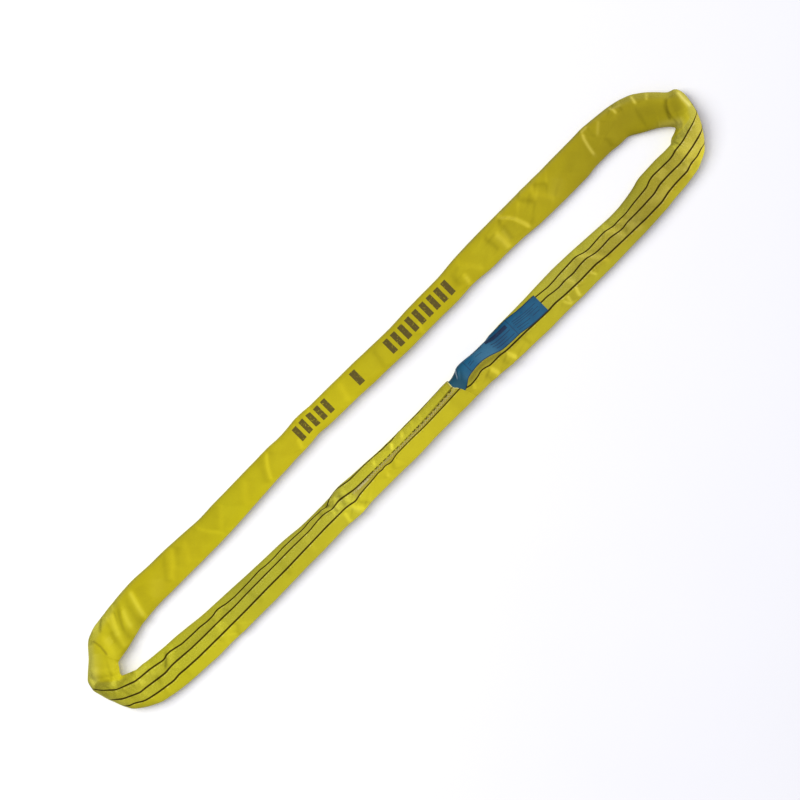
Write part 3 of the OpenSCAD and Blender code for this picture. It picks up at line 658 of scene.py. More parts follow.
# painted shade as dark lines in the sharp creases and beside the label strip, and, below 0, painted highlights as paler
# lines on crests: strength, width, line
CREASES = [
    (0.66, 1.9, [(-683, 81), (-680, 75), (-678, 62), (-679, 50), (-681, 40)]), (0.35, 3.0, [(-684, 80), (-680, 74)]),
    (0.34, 2.2, [(-663, 79), (-655, 86), (-650, 91), (-642, 96)]), (0.22, 3.0, [(-631, 50), (-625, 62), (-616, 76), (-606, 88)]),
    (0.16, 3.4, [(-655, 46), (-652, 57), (-647, 69)]), (0.34, 2.0, [(-626, -47), (-618, -41), (-612, -35), (-605, -27)]),
    (0.36, 6.5, [(-736, 22), (-722, 13), (-708, 6)]), (0.26, 4.0, [(-706, -9), (-694, -8), (-684, -11)]),
    (0.12, 5.0, [(498, -62), (500, -78)]), (0.36, 1.9, [(715, 40), (706, 33), (699, 21), (696, 9)]), (0.20, 10.0, [(712, 6), (715, 14), (719, 25), (725, 36)]), (0.12, 7.0, [(716, -8), (724, -9)]),
    (0.7, 2.2, [(-224, -42), (-221, -47), (-214, -46)]), (0.35, 2.4, [(500, -56), (499, -64)]),
    (0.12, 7.0, [(-622, 36), (-604, 41), (-588, 44)]), (0.06, 6.0, [(419, 78), (406, 94)]), (0.12, 7.0, [(455, 80), (447, 90), (440, 100)]), (0.60, 5.4, [(108, -71), (122, -66), (135, -63.5), (150, -62.8), (165, -65), (182, -70), (196, -73)]), (0.22, 3.0, [(-666, 26), (-640, 27), (-618, 33)]),
    (0.22, 5.0, [(-720, -8), (-708, -12), (-694, -11)]), (0.28, 6.5, [(670, -62), (671, -74), (669, -88)]), (0.42, 6.5, [(676, -26), (690, -27), (704, -26)]),
    (0.20, 8.0, [(622, -44), (646, -42), (664, -34)]), (0.10, 6.0, [(604, -84), (625, -84), (650, -84)]), (0.10, 14.0, [(502, 62), (516, 78), (534, 94)]), (0.12, 9.0, [(686, 64), (702, 42)]), (0.08, 9.0, [(-563, 56), (-557, 92)]), (0.24, 3.6, [(-213, -63), (-210, -53), (-206, -44)]),
    (0.30, 4.0, [(98, -76), (108, -76), (120, -71), (135, -67), (160, -68.5), (182, -73.5), (215, -76.5), (262, -80)]), (0.10, 6.0, [(300, -77), (320, -79)]),
    (0.10, 7.0, [(378, -62), (400, -63)]), (0.08, 9.0, [(-374, 74), (-352, 88)]), (0.07, 8.0, [(362, 58), (366, 84)]),
    # painted highlights: paler lines along crests and facets
    (-0.36, 2.8, [(554, 56), (557, 76), (561, 92), (566, 103)]), (-0.30, 1.8, [(563, 103), (570, 104), (580, 104)]),
    (-0.16, 2.4, [(582, 79), (591, 88), (603, 98)]), (-0.42, 2.0, [(633, 84), (634, 92), (631, 99)]),
    (-0.34, 1.8, [(634, 95), (641, 92), (648, 89)]), (-0.46, 2.2, [(669, 72), (671, 80), (673, 88)]),
    (-0.26, 2.0, [(686, 62), (698, 73)]), (-0.70, 5.4, [(738, -2), (735, 8), (735, 20), (737, 36)]),
    (-0.20, 4.2, [(-588, 44), (-584, 60), (-579, 78), (-574, 97)]), (-0.14, 5.0, [(-617, 46), (-612, 64), (-604, 82)]),
    (-0.14, 6.0, [(-644, 50), (-636, 70), (-625, 92)]), (-0.14, 4.0, [(162, -96), (160, -87), (157, -78)]),
    (-0.18, 4.2, [(204, -98), (201, -89), (197, -79)]), (-0.12, 8.0, [(672, -34), (684, -50), (688, -66)]),
    (-0.22, 3.2, [(-712, -1), (-700, 1)]),
    (-0.36, 13.0, [(-722, 42), (-708, 54), (-697, 66)]), (-0.46, 8.0, [(-714, 54), (-700, 69), (-690, 80)]), (-0.40, 6.0, [(-674, 92), (-660, 96), (-644, 99)]), (-0.34, 7.0, [(-738, 30), (-728, 38), (-714, 54)]), (-0.40, 7.5, [(-743, 20), (-724, 30), (-706, 46)]), (-0.46, 8.0, [(666, 14), (684, 4), (699, -6), (690, -17)]), (-0.12, 8.0, [(-658, 50), (-660, 66)]),
    (-0.28, 6.0, [(-675, -33), (-664, -37)]), (-0.50, 7.0, [(-744, 14), (-739, -6), (-730, -26), (-716, -48)]), (-0.22, 8.0, [(-670, -14), (-658, -18), (-644, -18)]), (-0.12, 7.0, [(-672, -38), (-656, -36), (-630, -42)]),
    (-0.13, 6.0, [(331, 48), (332, 66), (331, 84)]), (-0.20, 3.6, [(385, 47), (381, 62), (375, 78), (366, 91), (354, 101)]),
    (-0.12, 5.0, [(238, 56), (241, 68)]), (-0.22, 2.2, [(343, -100), (343, -91), (345, -83)]), (-0.16, 2.2, [(333, -85), (337, -93), (341, -100)]),
    (-0.26, 2.6, [(361, -101), (363, -91), (367, -82)]), (-0.26, 1.7, [(402, -82), (405, -87), (407, -93)]),
    (-0.14, 5.0, [(366, -60), (369, -68), (371, -78)]), (-0.17, 3.6, [(400, -43), (413, -52), (423, -62), (434, -77)]),
    (-0.22, 9.0, [(506, -66), (520, -71), (536, -72)]), (-0.24, 9.0, [(513, -64), (519, -80), (523, -96)]), (-0.24, 8.0, [(560, -66), (585, -76), (610, -74)]), (-0.24, 8.0, [(606, -56), (616, -48), (618, -36)]), (-0.30, 6.0, [(644, -72), (662, -74)]), (-0.08, 14.0, [(-548, 50), (-522, 78)]), (-0.06, 12.0, [(450, 56), (482, 78)]),
    (-0.10, 6.0, [(432, -66), (438, -80)]), (-0.10, 5.0, [(343, 56), (345, 82)]), (-0.14, 4.0, [(-197, -62), (-195, -52), (-193, -42)]),
    (-0.14, 4.0, [(460, -45), (474, -52), (483, -58)]), (-0.22, 6.0, [(478, -62), (488, -76)]), (-0.14, 4.0, [(-183, -97), (-188, -86), (-192, -76)]),
    (-0.16, 2.2, [(-110, -56), (-107, -50), (-105, -46)]), (-0.20, 2.4, [(-68, -57), (-64, -52), (-60, -47)]),
    (-0.14, 2.4, [(-41, -55), (-37, -50), (-32, -46)]), (-0.14, 3.0, [(-104, -86), (-103, -82)]),
]
painted_shading = np.zeros((N, K))
for size, width, line in CREASES:
    d, f, side = near(P2, line)
    ends = np.clip(f / 0.12, 0.25, 1) * np.clip((1 - f) / 0.12, 0.25, 1)
    spot = size * np.exp(-(d / width) ** 2) * ends * up * visible
    painted_shading = np.where(np.abs(spot) > np.abs(painted_shading), spot, painted_shading)

# how bright the cloth is along the legs, as painted shade and light: darker towards the right eye and lighter round the
# lap
TONE_PLAIN = ([-745, -700, -600, -530, -400, -300, -200, -50, 0, 50, 150, 250, 300, 350, 400, 450, 500, 560, 640, 720, 745],
              [0.92, 1.02, 1.07, 1.03, 1.03, 1.08, 1.06, 1.11, 0.99, 0.96, 0.95, 0.91, 0.85, 0.84, 0.87, 0.83, 0.72, 0.65, 0.62, 0.66, 0.74])
TONE_SEAM = ([-745, -700, -640, -600, -550, -500, -440, -400, -300, -240, -190, -150, -100, 0, 50, 100, 200, 250, 320, 420, 480, 540, 570,
              600, 640, 652, 662, 672, 690, 705, 711, 718],
             [0.94, 0.95, 1.04, 1.06, 1.16, 1.12, 0.97, 0.99, 1.01, 1.11, 1.22, 1.20, 1.12, 1.07, 1.01, 0.94, 0.95, 0.92, 0.88, 0.85, 0.80,
              0.61, 0.66, 0.82, 0.84, 0.92, 1.12, 1.14, 1.05, 1.00, 0.88, 0.72])
TONE_INNER = ([-745, -600, -550, -480, -400, -350, -300, -250, -190, -140, -100, -50, 0, 60, 350, 400, 500, 560, 600, 745],
              [1.0, 0.90, 0.75, 0.84, 0.83, 0.94, 0.85, 0.85, 0.90, 1.0, 1.14, 1.17, 1.07, 1.08, 1.0, 1.0, 1.15, 1.10, 0.95, 1.0])
painted_shade_tone = np.where((ri > i_left) & (ri < i_right), np.interp(X, *TONE_PLAIN), np.interp(X, *TONE_SEAM))
in_strip = np.clip((18.0 - U) / 3.0, 0, 1) + (U > GIRTH - 26) * np.clip((U - GIRTH + 26) / 8, 0, 1)
on_seam = ((ri <= i_left) | (ri >= i_right))[:, None]
painted_shade_tone = smooth(painted_shade_tone, 5)[:, None] * (1 + in_strip * on_seam * (smooth(np.interp(X, *TONE_INNER), 5) - 1)[:, None])
# and painted light and shade towards the edges: the outer and the inner edge of the plain leg, and the inner edge of
# the striped one
EDGE_X = [-740, -700, -660, -630, -600, -540, -480, -420, -360, -300, -240, -200, 60, 240, 300, 360, 420, 480, 540, 600, 660, 690, 720, 742]
EDGE_PLAIN_O = [0.2, 0.20, 0.20, 0.05, 0.02, 0.02, -0.02, -0.06, -0.06, -0.04, 0.0, 0.0, 0.0, 0.04, 0.02, 0.07, 0.07, 0.12, 0.18, 0.19, 0.24, 0.22, 0.16, 0.10]
EDGE_PLAIN_I = [0.0, 0.0, -0.14, -0.15, -0.18, -0.08, 0.03, 0.04, 0.04, 0.02, 0.03, 0.0, 0.03, 0.02, 0.05, 0.0, -0.06, -0.09, -0.15, -0.10, 0.20, 0.26, 0.20, 0.0]
EDGE_SEAM_I = [0.1, 0.08, 0.10, 0.15, 0.20, 0.22, 0.19, 0.14, 0.14, 0.16, 0.10, 0.0, 0.04, 0.04, 0.20, 0.15, 0.15, 0.10, 0.15, 0.14, 0.14, 0.26, 0.2, 0.0]
place = pos_lz[..., 0] / half_a[:, None]
to_outer = np.clip((place - 0.1) / 0.8, 0, 1) * (nor[..., 2] > -0.3)
to_inner = np.clip((-place - 0.2) / 0.7, 0, 1) * (nor[..., 2] > -0.3)
plain_rows = (ri > i_left) & (ri < i_right)
edge_o = smooth(np.where(plain_rows, np.interp(X, EDGE_X, EDGE_PLAIN_O), 0.0), 6)[:, None]
edge_i = smooth(np.where(plain_rows, np.interp(X, EDGE_X, EDGE_PLAIN_I), np.interp(X, EDGE_X, EDGE_SEAM_I)), 6)[:, None]
painted_shade_tone = painted_shade_tone * (1 + edge_o * to_outer + edge_i * to_inner)
# its hue: greener or more orange, and paler or deeper, as factors on green and blue
HUE_X = [-700, -600, -550, -500, -450, -400, -350, -300, -250, -200, -150, -100, 50, 100, 150, 250, 300, 350, 400, 450, 500, 550, 600, 700]
GREEN_PLAIN = [1.0, 1.0, 0.97, 0.97, 0.97, 0.99, 1.01, 0.99, 0.98, 0.97, 0.98, 0.98, 0.98, 0.98, 0.97, 0.97, 0.98, 0.96, 0.96, 0.96, 0.96, 0.96, 0.95, 0.97]
BLUE_PLAIN = [1.1, 1.1, 0.78, 0.78, 0.78, 0.82, 0.82, 0.95, 0.97, 0.87, 0.95, 0.97, 1.1, 1.1, 1.1, 1.05, 1.0, 1.22, 1.2, 1.35, 1.3, 1.3, 1.5, 1.2]
GREEN_SEAM = [1.02, 1.04, 1.03, 1.02, 1.05, 1.05, 1.04, 1.02, 1.01, 1.03, 1.01, 0.99, 0.99, 0.98, 0.97, 1.0, 1.01, 1.0, 1.03, 1.01, 1.02, 1.0, 1.0, 1.0]
BLUE_SEAM = [0.8, 0.7, 0.84, 0.8, 1.04, 1.04, 0.93, 1.12, 1.0, 1.30, 0.90, 0.80, 0.78, 0.82, 1.0, 0.9, 0.96, 1.45, 1.28, 1.28, 1.32, 1.1, 1.0, 1.5]
on_plain = (ri > i_left) & (ri < i_right)
green = smooth(np.where(on_plain, np.interp(X, HUE_X, GREEN_PLAIN), np.interp(X, HUE_X, GREEN_SEAM)), 6)[:, None] + np.zeros((1, K))
blue = smooth(np.where(on_plain, np.interp(X, HUE_X, BLUE_PLAIN), np.interp(X, HUE_X, BLUE_SEAM)), 6)[:, None] + np.zeros((1, K))
green -= (np.clip((X - 350) / 60, 0, 1) * on_seam[:, 0] * 0.06)[:, None] * np.clip((50 - U) / 12, 0, 1)
# under the closing seam the middle stripe is nearly covered by stitches, and the cloth beside it is dull
lap_rows = (ri < i_left)[:, None]
fade = np.interp(X, [-176, -170, -128, -116, -60, -24, 40, 84], [0, 0, 0, 0.62, 0.80, 0.72, 0.66, 0.35])[:, None] * lap_rows
fade = fade * np.clip((14.0 - np.abs(U - 17.0)) / 4.0, 0, 1)
seam_cover = np.interp(X, [-178, -165, 78, 88], [0, 1, 1, 0.3])[:, None] * lap_rows
seam_cover = seam_cover * np.clip((U - 17.6) / 1.2, 0, 1) * np.clip((36.2 - U) / 1.2, 0, 1)
seam_cover = np.maximum(seam_cover, (1.3 * np.clip(1.25 - s_mm / 4.0, 0, 1))[:, None] * np.clip((44 - U) / 6, 0, 1))

# broad unevenness of the filling, and small random folds, stronger round the eyes
bend = smooth(np.clip(tip, 0, 1), 10)[:, None]
relief += 0.55 * lattice(S, U, 62, 39, 11) * (1 - 0.7 * down)
relief += (0.17 + 0.20 * bend) * lattice(S + 0.45 * U, U, 23, 26, 12) * (1 - 0.6 * down)
relief += (0.07 + 0.05 * bend) * lattice(S - 0.6 * U, U, 9, 17, 13)
relief += 0.8 * down * lattice(S, U, 48, 20, 14)
# the marker yarns stand a little proud
for u in U_STRIPE:
    d = np.abs((U - u + GIRTH / 2) % GIRTH - GIRTH / 2)
    relief += 0.28 * np.exp(-(d / 1.15) ** 4)
# the closing seam pulls the lap in along its line
seam_rows = (ri < i_left) & (X > -176)
d_seam = np.abs(P2[..., 1] + 61.5)
relief -= np.where(seam_rows[:, None], 0.9 * np.exp(-(d_seam / 2.6) ** 2) * up, 0)
# the lap's end bulges over the label strip
over = np.clip((X - 62) / 16, 0, 1) * (ri < i_left)
relief += (over * over * (3 - 2 * over))[:, None] * 0.9 * np.clip(nor[..., 2] * 2.5, 0, 1)
# the cut edge of the lapping end isn't straight: it stands back between the two upper stripes
back = np.interp(P2[..., 1], [-98, -78, -64, -60.7, -57.5, -53, -40], [0, 0, -1.6, -2.8, -5.4, -5.6, -1.4])
back = back * (np.clip((X - 50) / 34, 0, 1) ** 1.5 * (ri < i_left))[:, None] * (nor[..., 2] > -0.2)
skin = base + nor * (relief * (0.15 + 0.85 * showing))[..., None]
skin[..., 0] += back
skin[..., 2] = np.maximum(skin[..., 2], 0.02)
# vertex normals of the finished skin, turned outward like the base's
grid_nor = normals(skin)
if (grid_nor * nor).sum() < 0:
    grid_nor = -grid_nor


# ------------------------------------------------------------------ materials
def sleeve_material():
    m = Nodes("sleeve_weave")
    uv = m.new("ShaderNodeUVMap", uv_map="run_girth").outputs[0]
    sep = m.new("ShaderNodeSeparateXYZ")
    m.put(sep.inputs[0], uv)
    s = m.math("MULTIPLY", sep.outputs[0], 100.0)  # mm along
    u = m.math("MULTIPLY", sep.outputs[1], 100.0)  # mm round
    obj = m.new("ShaderNodeTexCoord").outputs["Object"]
    # weave: warp ribs with a twill step, about 1.1 mm apart
    warp = m.math("SINE", m.math("MULTIPLY", m.math("ADD", u, m.math("MULTIPLY", s, 0.5)), 2 * math.pi / 1.25))
    weft = m.math("SINE", m.math("MULTIPLY", s, 2 * math.pi / 1.1))
    weave = m.math("MULTIPLY", warp, weft)
    weave01 = m.math("MULTIPLY_ADD", weave, 0.5, 0.5)
    big = m.noise(obj, 5.0, 2.0)
    mid_n = m.noise(obj, 34.0, 3.0)
    fine = m.noise(obj, 520.0, 2.0, 0.6)
    # the band between the stripes is woven coarser
    band = m.step(m.math("ADD", u, m.math("MULTIPLY", mid_n, 3.0)), 38.0, 41.0, 1.0, 0.0)
    band = m.math("MAXIMUM", band, m.step(u, GIRTH - 26.0, GIRTH - 18.0))
    painted_shade_tone = m.new("ShaderNodeAttribute", attribute_name="painted_shade_tone")
    painted_shading = m.new("ShaderNodeAttribute", attribute_name="painted_shading")
    fade = m.new("ShaderNodeAttribute", attribute_name="fade").outputs["Fac"]
    cover = m.new("ShaderNodeAttribute", attribute_name="cover").outputs["Fac"]
    base_c = m.mix(m.step(big, 0.35, 0.65), rgb(185, 175, 21), rgb(192, 182, 29))
    base_c = m.mix(m.math("MULTIPLY", m.step(mid_n, 0.3, 0.7), 0.35), base_c, rgb(175, 162, 21))
    side = m.math("MAXIMUM", m.step(u, 62.0, 76.0, 0.24, 0.0), m.step(u, GIRTH - 30.0, GIRTH - 20.0, 0.0, 0.24))
    base_c = m.mix(side, base_c, rgb(188, 178, 62))
    grain = m.math("MULTIPLY", m.step(fine, 0.35, 0.75), m.math("MULTIPLY_ADD", band, 0.30, 0.10))
    base_c = m.mix(m.math("MULTIPLY", band, 0.8), base_c, rgb(176, 171, 50))
    base_c = m.mix(grain, base_c, rgb(140, 132, 34))
    pick = m.math("MULTIPLY", m.step(m.noise(obj, 900.0, 1.0, 0.5), 0.60, 0.70), m.math("MULTIPLY", band, 0.55))
    base_c = m.mix(pick, base_c, rgb(216, 206, 96))
    base_c = m.mix(m.math("MULTIPLY", m.math("SUBTRACT", 1.0, weave01), 0.16), base_c, rgb(150, 136, 10))
    # generic print: plain upright bars in dull ink, slightly worn
    du = m.math("ABSOLUTE", m.math("SUBTRACT", u, PRINT_U))
    wob = m.math("MULTIPLY_ADD", m.noise(obj, 420.0, 2.0, 0.6), 1.0, -0.5)
    tall = m.step(m.math("ADD", du, wob), 16.6, 17.2, 1.0, 0.0)
    ink = None
    for s0, s1, pitch, width in PRINT_GROUPS:
        inside = m.math("MULTIPLY", m.math("GREATER_THAN", s, s0), m.math("LESS_THAN", s, s1))
        ph = m.math("MODULO", m.math("SUBTRACT", s, s0), pitch)
        bar = m.step(m.math("ADD", m.math("ABSOLUTE", m.math("SUBTRACT", ph, pitch / 2)), wob), width / 2 - 0.3, width / 2 + 0.3, 1.0, 0.0)
        g = m.math("MULTIPLY", inside, bar)
        ink = g if ink is None else m.math("MAXIMUM", ink, g)
    ink = m.math("MULTIPLY", ink, tall)
    worn = m.step(m.noise(obj, 260.0, 4.0, 0.7), 0.30, 0.46)
    ink = m.math("MULTIPLY", ink, m.math("MULTIPLY_ADD", worn, 0.5, 0.42))
    base_c = m.mix(ink, base_c, rgb(76, 64, 38))
    # marker stripes
    mask = None
    fleck = m.noise(obj, 330.0, 2.0, 0.55)
    for us in U_STRIPE:
        d0 = m.math("ABSOLUTE", m.math("SUBTRACT", m.math("MODULO", m.math("ADD", u, GIRTH * 1.5 - us - 2.6), GIRTH), GIRTH / 2))
        pale = m.math("MULTIPLY", m.step(d0, 0.4, 1.2, 1.0, 0.0), m.step(fleck, 0.50, 0.62))
        base_c = m.mix(m.math("MULTIPLY", pale, 0.55), base_c, rgb(214, 206, 112))
        d1 = m.math("ABSOLUTE", m.math("SUBTRACT", m.math("MODULO", m.math("ADD", u, GIRTH * 1.5 - us - 5.2), GIRTH), GIRTH / 2))
        dark = m.math("MULTIPLY", m.step(d1, 0.5, 1.6, 1.0, 0.0), m.step(fleck, 0.40, 0.32))
        base_c = m.mix(m.math("MULTIPLY", dark, 0.40), base_c, rgb(104, 92, 26))
    for us, wide in zip(U_STRIPE, (1.06, 1.28, 1.34)):
        d = m.math("ABSOLUTE", m.math("SUBTRACT", m.math("MODULO", m.math("ADD", u, GIRTH * 1.5 - us), GIRTH), GIRTH / 2))
        edge = m.math("MULTIPLY_ADD", m.math("SUBTRACT", fine, 0.5), 0.7, d)
        k = m.step(edge, wide, wide + 0.56, 1.0, 0.0)
        mask = k if mask is None else m.math("MAXIMUM", mask, k)
    base_c = m.mix(m.math("MULTIPLY", cover, 0.75, clamp=True), base_c, m.mix(fine, rgb(140, 126, 43), rgb(160, 146, 70)))
    base_c = m.mix(m.step(cover, 1.0, 1.2), base_c, rgb(204, 199, 126))
    # painted highlight: paler colour along crests, where the painted shading is below 0
    painted_highlight = m.math("MULTIPLY", painted_shading.outputs["Fac"], -0.9, clamp=True)
    base_c = m.mix(painted_highlight, base_c, rgb(186, 177, 84))
    mask = m.math("MULTIPLY", mask, m.math("SUBTRACT", 1.0, fade))
    base_c = m.mix(mask, base_c, m.mix(weave01, rgb(44, 34, 2), rgb(62, 50, 6)))
    # painted shade and light multiplied into the base colour: brightness along the legs and edges, darker creases,
    # paler crests
    shade = m.new("ShaderNodeMix", data_type="RGBA", blend_type="MULTIPLY")
    shade.inputs[0].default_value = 1.0
    m.put(shade.inputs[6], base_c)
    combine = m.new("ShaderNodeCombineColor")
    t3 = m.math("MULTIPLY", painted_shade_tone.outputs["Fac"], m.math("MULTIPLY_ADD", painted_shading.outputs["Fac"], -0.72, 1.0))
    for k, gamma in enumerate((1.0, 1.05, 0.82)):
        gain = m.new("ShaderNodeAttribute", attribute_name=("green", "green", "blue")[k]).outputs["Fac"] if k else 1.0
        m.put(combine.inputs[k], m.math("MULTIPLY", m.math("POWER", t3, gamma), gain))
    m.put(shade.inputs[7], combine.outputs[0])
    base_c = shade.outputs[2]
    height = m.math("ADD", m.math("MULTIPLY", weave01, 0.10), m.math("MULTIPLY", fine, m.math("MULTIPLY_ADD", band, 0.10, 0.05)))
    m.set(Base_Color=base_c, Roughness=m.math("MULTIPLY_ADD", weave01, -0.10, 0.62), Normal=m.bump(height, 0.001, 0.55))
    m.bsdf.inputs["Specular IOR Level"].default_value = 0.12
    m.bsdf.inputs["Specular Tint"].default_value = (1.0, 0.93, 0.35, 1)
    m.bsdf.inputs["Sheen Weight"].default_value = 0.10
    m.bsdf.inputs["Sheen Roughness"].default_value = 0.5
    m.bsdf.inputs["Sheen Tint"].default_value = rgb(228, 220, 100)
    return m.mat


# where the print sits on the plain leg, as run and girth
i_mid = ring_at(20, "plain")
PRINT_U = float(cols[int(np.argmin(np.abs(frac[i_mid] - 0.262)))])


def s_at(x):
    return float(s_mm[ring_at(x, "plain")])


PRINT_GROUPS = [(s_at(-173), s_at(-84), 17.6, 10.6), (s_at(-31), s_at(-11), 20.0, 13.0), (s_at(50), s_at(214), 18.2, 11.0)]
sleeve_mat = sleeve_material()


# ------------------------------------------------------------------ sleeve pieces
def tube_mesh(name, rows, material, ring_list=None, end_rim=False):
    """A piece of the sleeve: rings of K points from the grid. An end rim turns the first ring in, as a hem."""
    pts = [skin[i] for i in rows]
    nrm = [grid_nor[i] for i in rows]
    ss = [s_mm[i] for i in rows]
    if end_rim:
        i = rows[0]
        tangent = (skin[rows[0]] - skin[rows[1]])
        tangent /= np.linalg.norm(tangent, axis=1, keepdims=True)
        n = grid_nor[i]
        extra = []
        for out, inn, ns in ((0.55, 0.15, 0.75), (0.75, 0.5, 0.0), (0.5, 0.9, -0.75), (-2.0, 1.0, -1.0), (-9.0, 1.0, -1.0), (-22.0, 1.0, -1.0)):
            p = skin[i] + tangent * out - n * inn
            if out < -1:
                p = skin[rows[0] + (1 if out > -3 else 4 if out > -10 else 9)] - grid_nor[rows[0] + (1 if out > -3 else 4 if out > -10 else 9)] * inn
            v = n * ns + tangent * (1 - abs(ns))
            extra.append((p, v / np.linalg.norm(v, axis=1, keepdims=True), ss[0] - out))
        for p, v, s in extra:
            pts.insert(0, p)
            nrm.insert(0, v)
            ss.insert(0, s)
    R = len(pts)
    P = np.concatenate(pts) * MM
    V = np.concatenate(nrm)
    k = np.arange(K)
    kn = (k + 1) % K
    a = (np.arange(R - 1)[:, None] * K)
    quads = np.stack([a + k, a + kn, a + K + kn, a + K + k], -1).reshape(-1, 4)
    p0, p1, p3 = P[quads[:, 0]], P[quads[:, 1]], P[quads[:, 3]]
    if (np.cross(p1 - p0, p3 - p0) * V[quads[:, 0]]).sum() < 0:
        quads = quads[:, ::-1]
    me = bpy.data.meshes.new(name)
    me.vertices.add(len(P))
    me.vertices.foreach_set("co", P.astype(np.float32).ravel())
    me.loops.add(quads.size)
    me.loops.foreach_set("vertex_index", quads.astype(np.int32).ravel())
    me.polygons.add(len(quads))
    me.polygons.foreach_set("loop_start", np.arange(0, quads.size, 4, dtype=np.int32))
    me.update(calc_edges=True)
    me.validate()
    uvl = me.uv_layers.new(name="run_girth")
    col = quads % K
    row = quads // K
    uu = cols[col]
    wrap = (col.max(1) == K - 1) & (col.min(1) == 0)
    uu = np.where(wrap[:, None] & (col == 0), GIRTH + cols[0], uu)
    ss = np.array(ss)
    uvs = np.stack([ss[row] / 100.0, uu / 100.0], -1)
    uvl.data.foreach_set("uv", uvs.astype(np.float32).ravel())
    me.polygons.foreach_set("use_smooth", [True] * len(me.polygons))
    for key_name, field in (("painted_shade_tone", painted_shade_tone), ("painted_shading", painted_shading), ("green", green), ("blue", blue), ("fade", fade), ("cover", seam_cover)):
        data = [field[i] for i in rows]
        while len(data) < R:
            data.insert(0, data[0])
        me.attributes.new(key_name, "FLOAT", "POINT").data.foreach_set("value", np.concatenate(data).astype(np.float32))
    me.normals_split_custom_set_from_vertices([tuple(v) for v in V])
    me.materials.append(material)
    ob = bpy.data.objects.new(name, me)
    scene.collection.objects.link(ob)
    return ob


sleeve_left = tube_mesh("sleeve_left_half", list(range(0, CUT + 1)), sleeve_mat, end_rim=True)
sleeve_right = tube_mesh("sleeve_right_half", list(range(CUT, N)), sleeve_mat)
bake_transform(sleeve_left)
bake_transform(sleeve_right)
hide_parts("sleeve_plain_leg", "sleeve_outer_end", "sleeve_left_eye", "stripes_legs", "stripes_left_eye", "lap_hem")
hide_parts("sleeve_inner_end", "sleeve_right_eye", "stripes_right_eye")


# ------------------------------------------------------------------ surfaces to lay things on
def tree_of(rows):
    """A BVH of some rings of the sleeve, in mm."""
    pts = skin[rows].reshape(-1, 3)
    k = np.arange(K)
    a = np.arange(len(rows) - 1)[:, None] * K
    quads = np.stack([a + k, a + (k + 1) % K, a + K + (k + 1) % K, a + K + k], -1).reshape(-1, 4)
    return BVHTree.FromPolygons([tuple(q) for q in pts], [tuple(int(c) for c in q) for q in quads])


lap_tree = tree_of(list(range(0, ring_at(-260, "lap"))))
tucked_tree = tree_of(list(range(ring_at(330, "tucked"), ring_at(60, "tucked"))))


def on_top(tree, x, y):
    """Height of the surface under a point of the plan, and its normal."""
    hit = tree.ray_cast(Vector((x, y, 90.0)), Vector((0, 0, -1)))
    if hit[0] is None:
        return None
    n = hit[1] if hit[1].z > 0 else -hit[1]
    return hit[0].z, n


def plain_mesh(name, verts, faces, loop_normals=None, uvs=None, uv_name="strip", smooth_faces=True):
    me = bpy.data.meshes.new(name)
    me.from_pydata([tuple(v) for v in verts], [], [tuple(int(c) for c in f) for f in faces])
    me.update()
    me.polygons.foreach_set("use_smooth", [smooth_faces] * len(me.polygons))
    if uvs is not None:
        layer = me.uv_layers.new(name=uv_name)
        layer.data.foreach_set("uv", np.asarray(uvs, np.float32).ravel())
    if loop_normals is not None:
        me.normals_split_custom_set([tuple(v) for v in loop_normals])
    ob = bpy.data.objects.new(name, me)
    scene.collection.objects.link(ob)
    return ob


# ------------------------------------------------------------------ label strip
# upper and lower edge in plan where the label lies over the sleeve
LABEL_LOW = [(70, -73), (92, -75), (98, -74.5), (103, -72), (107, -70), (113, -65), (117, -62), (128.6, -60), (145.7, -57.9), (160, -58.9),
             (174.3, -62.5), (185.7, -66.7), (195.7, -70.0), (217, -71.4), (237, -71.6), (245.7, -73.1), (260, -75.4), (274, -76.8), (302, -77.7)]
LABEL_TOP = [(70, -41), (88.5, -41), (104, -39.3), (108.6, -37.1), (115.7, -34), (124.3, -33.3), (138.6, -34.3), (151.4, -35.7),
             (174.3, -36.4), (195.7, -37.4), (231, -37.6), (260, -39.7), (302, -40.3)]
LABEL_W = 37.6  # cut width of the label tape, mm
LABEL_T = 0.5
LABEL_CUT, LABEL_END = 226.5, 302.2
M_ACROSS = 27

soft_skin = skin.copy()
soft_skin[ri > i_right] = smooth(base[ri > i_right].reshape((ri > i_right).sum(), -1), 4).reshape(-1, K, 3)


